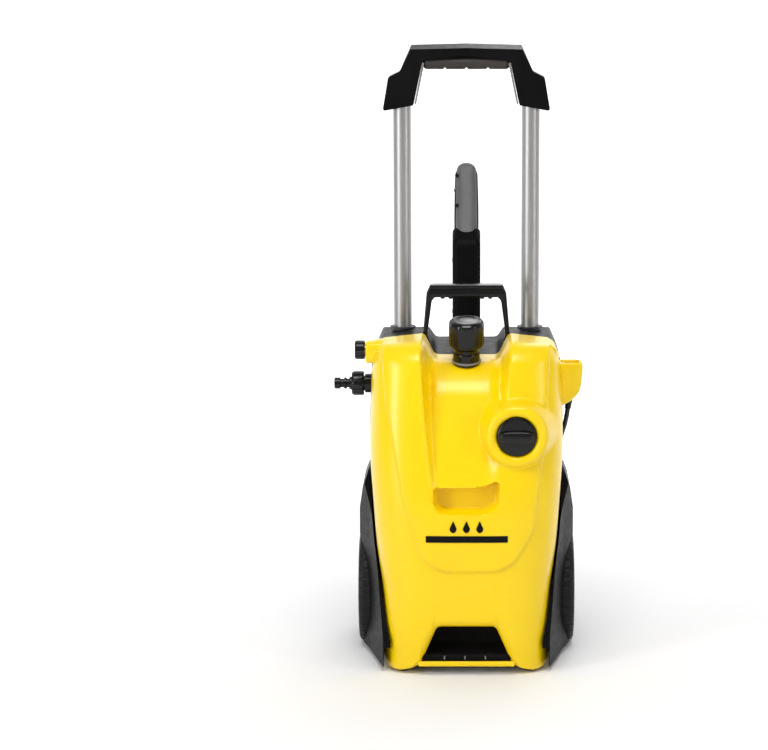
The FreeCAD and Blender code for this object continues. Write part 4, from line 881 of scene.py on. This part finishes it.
# ---------------------------------------------------------------- telescopic handle's head
HEAD_RIGHT = ((77, 847.5, 4), (93, 811, 5), (109, 803, 4), (117, 756, 3), (74, 764, 3), (61, 826, 6))
HEAD_FRONT, HEAD_BACK, HEAD_TOP = 43, 77, 849


def handle_head_mesh():
    """The head's outline as a block, its top slightly crowned and lower at the front."""
    outline = ((0, HEAD_TOP, 0),) + HEAD_RIGHT + ((0, 832, 0),) + mirrored(HEAD_RIGHT)
    verts, faces = prism("xz", outline, HEAD_FRONT, HEAD_BACK, 2.4)
    crowned = []
    for x, y, z in verts:
        if z > 843:
            z = min(z, HEAD_TOP - 2.0 * (x / 77) ** 2 - 0.16 * (HEAD_BACK - y))
        crowned.append((x, y, z))
    return crowned, faces


piece("handle_head", *handle_head_mesh(), "shell", "handle", ("handle_grip",))
for side in (-1, 1):
    piece("handle_head_lip_" + ("left" if side < 0 else "right"),
          *prism("xz", ((side * 72.5, 765.5, 0.8), (side * 70.2, 766, 0.8), (side * 58.6, 822, 2),
                        (side * 61.2, 824, 2)), 45, 75, 0.6), "grey_trim", "handle")


def soft_grip_mesh():
    """Sleeve round the head's bar, closed and round at its ends, with three finger notches below."""
    half, steps = 60.5, 140
    half_y, half_z = 14.0, 9.2
    rings = []
    for k in range(steps + 1):
        x = -half + 2 * half * k / steps
        end = min(1.0, (1 - abs(x) / (half + 1)) * 9)
        grow = math.sqrt(max(1 - (1 - end) ** 2, 0.02))
        notch = sum(max(0.0, 1 - abs(x - c) / 2.6) for c in (-30, 0, 30))
        rings.append([(x, 60 + a, 822.6 + b + 2.6 * notch * max(0.0, -b / half_z))
                      for a, b in squircle(half_y * grow, half_z * grow, 2.3, 40)])
    return loft(rings)


piece("handle_soft_grip", *soft_grip_mesh(), "soft_grip", "handle", ("handle_grip_pad",))

# ---------------------------------------------------------------- trigger gun
GUN_Y, GUN_LEAN = 197.0, math.radians(32)
GRIP_Y, GRIP_Z = 201, 552                   # root of the grip


def on_grip(x, across, up):
    """Point on the leaning grip: across is towards the trigger, up is along the grip."""
    return (x, GRIP_Y + across * math.cos(GUN_LEAN) + up * math.sin(GUN_LEAN),
            GRIP_Z - across * math.sin(GUN_LEAN) + up * math.cos(GUN_LEAN))


def grip_rings(low, high, grow, top_round, back_only=False):
    """Rings along the grip with a round end; back_only gives the narrower pad on its back."""
    result = []
    for k in range(61):
        up = low + (high - low) * (1 - (1 - k / 60) ** 1.6)
        cut = 1.0
        if high - up < top_round:
            cut = math.sqrt(max(1 - max(0.0, 1 - (high - up) / top_round) ** 2, 0.0))
        wave = 0.5 * math.cos(up / 11.0)
        half_x = (17.2 + 0.8 * math.cos((up - 40) / 34) + grow) * max(cut, 0.02)
        half_y = (15.6 + wave * 0.6 + grow) * max(cut, 0.02)
        shift = -2.0
        if back_only:
            half_x *= 0.84
            half_y *= 0.55
            shift = -9.4
        result.append([on_grip(a, b + shift, up) for a, b in squircle(half_x, half_y, 2.7, 56)])
    return result


BODY = ((GUN_Y - 23, 345, 12), (GUN_Y + 22, 345, 12), (GUN_Y + 24, 558, 10), (GUN_Y + 8, 582, 12),
        (GUN_Y - 23, 557, 22))
GUARD = ((GUN_Y + 8, 486, 0), (GUN_Y + 44, 498, 24), (GUN_Y + 98, 574, 24), (GUN_Y + 103, 640, 16),
         (GUN_Y + 70, 660, 2), (GUN_Y + 62, 650, 2), (GUN_Y + 93, 632, 10), (GUN_Y + 90, 580, 18),
         (GUN_Y + 40, 508, 18), (GUN_Y + 8, 500, 0))
TRIGGER_SLOT = ((207, 524, 0), (300, 524, 0), (300, 626, 0), (289.8, 626.2, 0), (256.3, 633, 0),
                (207, 554, 0))
NOSE = ((10.5, 0), (13, 0), (15, 2), (15, 60), (17, 64), (17, 180), (0, 180), (0, 42), (10.5, 42))
SCREW_WELL = ((0, 0), (2.6, 0), (2.9, 3.2), (2.2, 3.5), (1.7, 2.0), (0, 1.8))


def cut_away(obj, verts, faces):
    """Takes the given block out of the piece's mesh."""
    data = bpy.data.meshes.new("cutter")
    data.from_pydata([tuple(c * MM for c in v) for v in verts], [], faces)
    cutter = link(bpy.data.objects.new("cutter", data))
    cut = obj.modifiers.new("cut", "BOOLEAN")
    cut.operation, cut.solver, cut.use_self, cut.object = "DIFFERENCE", "EXACT", True, cutter
    bpy.context.view_layer.update()
    made = bpy.data.meshes.new_from_object(obj.evaluated_get(bpy.context.evaluated_depsgraph_get()))
    obj.modifiers.clear()
    obj.data = made
    bpy.data.objects.remove(cutter)
    made.set_sharp_from_angle(angle=math.radians(40))


moulding = piece("gun_moulding", *stack(prism("yz", BODY, -20.5, 20.5, 8.5, 7),
                                        loft(grip_rings(-10, 126, 0.0, 17))), "shell", "gun", ("gun_shell",))
cut_away(moulding, *prism("yz", TRIGGER_SLOT, -7.7, 7.7, 0.01, 1))
nose = lathe(softened(NOSE, 0.7), (0, GUN_Y, 172), (0, 0, 1), 80)
piece("gun_guard_and_nose", *stack(prism("yz", GUARD, -7, 7, 2.6), nose), "shell", "gun")
piece("gun_soft_back", *loft(grip_rings(4, 127.5, 0.7, 14, True)), "grip_grey", "gun", ("gun_grip_pad",))
for name, up in (("low", 8), ("middle", 54), ("high", 103)):
    turned_piece("gun_screw_well_" + name, SCREW_WELL, Vector(on_grip(-13.0, -15.0, up)),
                 (-0.45, -0.76, 0.47), "gloss_black", "gun", radius=0.2, segments=32)
RIB = ((-12, 0, 1), (12, 0, 1), (12, 3.4, 1), (-12, 3.4, 1))
ribs = [prism("xz", [(a, 372 + 9 * k + b, r) for a, b, r in RIB], GUN_Y - 24.2, GUN_Y - 21, 0.8)
        for k in range(7)]
piece("gun_front_ribs", *stack(*ribs), "shell", "gun")


# ---------------------------------------------------------------- wheels
def tread(radius, height, a):
    """Shallow cross grooves round the tyre."""
    if radius < 77.5:
        return radius
    return radius - 0.9 * max(0.0, math.cos(36 * a)) ** 8


TYRE = ((62, 1), (74, 0), (78, 2), (80, 6), (80, 22), (78, 26), (74, 28), (62, 27.5))
HUB_CAP = ((0, 21.5), (13.9, 21.5), (13.9, 24.2), (18, 24.2), (16, 27.5), (8, 28.5), (0, 28.8))
for side, tag in ((-1, "left"), (1, "right")):
    base, axis, body = (side * 124, 40, 80), (side, 0, 0), "wheel_" + tag
    turned_piece("wheel_tyre_" + tag, TYRE, base, axis, "rubber", body, ("tyre_" + tag,),
                 radius=2.2, segments=432, shape=tread)
    turned_piece("wheel_hub_cap_" + tag, HUB_CAP, base, axis, "gloss_black", body, ("wheel_cap_" + tag,),
                 radius=1.2, segments=72)


# ---------------------------------------------------------------- lances
LANCE_LOW, LANCE_TOP = 22.0, 425.0
BLASTER_X, VARIO_X = 76, -76
UP = (0, 0, 1)


def coupling():
    """Profile of the plug-in end: a smooth stub, then a flared grip with five ribs."""
    points = [(0, 0), (7.4, 0), (9, 1.6), (9, 22), (10.5, 24), (10.5, 36), (9, 38), (10, 44)]
    for k in range(5):
        z = 48 + k * 9
        flare = 10 + 5 * (z - 44) / 48
        waist = 9.6 + 0.9 * k
        points += [(flare, z), (waist, z + 0.4), (waist, z + 2.8), (flare + 0.4, z + 3.2)]
    return points + [(15, 91.5), (12.4, 95.5), (8, 98), (0, 98)]


def lug(x):
    """The coupling's two locking lugs, as one bar through it."""
    outline = ((x - 15, 193.2, 1.4), (x + 15, 193.2, 1.4), (x + 15, 200.8, 1.4), (x - 15, 200.8, 1.4))
    return prism("xy", outline, LANCE_LOW + 26, LANCE_LOW + 34, 0.9)


def lance_mesh(x, tube_radius, tube_top, collar, collar_radius, segments):
    """Coupling, lugs and tube of a lance, and the collar at the tube's other end."""
    base = (x, GUN_Y, LANCE_LOW)
    tube = lathe([(0, 90), (tube_radius, 90), (tube_radius, tube_top), (0, tube_top)], base, UP, 64)
    return stack(lathe(softened(coupling(), 0.3), base, UP, 80), lug(x), tube,
                 lathe(softened(collar, collar_radius), base, UP, segments))


BLASTER_COLLAR = ((0, 341), (11, 341), (11.2, 346.8), (0, 346.8))
piece("blaster_lance_tube", *lance_mesh(BLASTER_X, 7.5, 350, BLASTER_COLLAR, 0.5, 64), "lance_plastic",
      "lance_blaster", ("blaster_lance",))


def cone_grip(radius, height, a):
    """Fine grip ribs round the cone's rim."""
    return radius - (0.5 * max(0.0, math.cos(24 * a)) ** 2 if height < -44 and radius > 18 else 0)


CONE = ((7.55, -56), (20, -56), (21, -53), (21, -44), (19.5, -42), (11.5, -8), (9.5, -6), (9.5, 0), (4, 0),
        (4, -8), (8, -10), (15.5, -44), (15.5, -51.8), (7.55, -51.8))
turned_piece("blaster_cone", CONE, (BLASTER_X, GUN_Y, LANCE_TOP), UP, "lance_plastic", "lance_blaster",
             ("blaster_nozzle",), radius=0.6, segments=192, shape=cone_grip)
VARIO_COLLAR = ((0, 147), (12.6, 146), (14.5, 150), (17, 166), (17, 178), (0, 178))
piece("vario_lance_tube", *lance_mesh(VARIO_X, 8, 377, VARIO_COLLAR, 0.6, 80), "lance_plastic",
      "lance_vario", ("vario_lance",))
turned_piece("vario_scale_ring", ((16, 168), (17.35, 168.3), (17.35, 176), (16, 176.3)),
             (VARIO_X, GUN_Y, LANCE_LOW), UP, "scale_white", "lance_vario", radius=0.15, segments=80)


def sleeve_flutes(radius, height, a):
    """Ten long finger flutes that fade out at both ends."""
    if radius < 19 or not 214 < height < 352:
        return radius
    fade = min(1.0, (height - 214) / 16, (352 - height) / 16)
    return radius - 2.4 * fade * max(0.0, math.cos(10 * a)) ** 3


SLEEVE = [(8.06, 178.6), (18.4, 178.6), (19.4, 180)]
SLEEVE += [(19.4 + 4.1 * math.sin(math.pi / 2 * min(1, k / 16)), 180 + 5 * k) for k in range(1, 17)]
SLEEVE += [(23.5 - 0.5 * k / 12, 260 + 5 * k) for k in range(1, 13)]
SLEEVE += [(23 - 8.6 * (k / 12) ** 1.3, 320 + 6.5 * k) for k in range(1, 13)]
SLEEVE += [(13, 403), (7, 403), (7, 389), (8.06, 381)]
piece("vario_handle", *lathe(SLEEVE, (VARIO_X, GUN_Y, LANCE_LOW), UP, 200, sleeve_flutes), "lance_plastic",
      "vario_sleeve", ("vario_sleeve",))


# ---------------------------------------------------------------- soft edges on the kept CAD pieces
SOFT_EDGES = {
    "rear_housing": 1.1, "lower_grip": 0.8, "chassis_base": 0.8, "gun_holder": 0.8, "lance_holder": 0.8,
    "handle_guides": 0.6, "outlet_connector": 0.4, "inlet_union": 0.4, "inlet_nut": 0.5,
    "outlet_collar": 0.4, "inlet_nipple": 0.3, "rim_left": 0.6, "rim_right": 0.6, "mains_plug": 0.5,
    "cable_gland": 0.6, "gun_trigger": 0.7, "gun_lock": 0.4, "gun_hose_button": 0.4,
    "front_foot_pads": 0.4,
}
for node, width in SOFT_EDGES.items():
    soft = NODES[node].modifiers.new("soft_edges", "BEVEL")
    soft.width = width * MM
    soft.segments = 2
    soft.limit_method = "ANGLE"
    soft.angle_limit = math.radians(38)
    soft.use_clamp_overlap = True
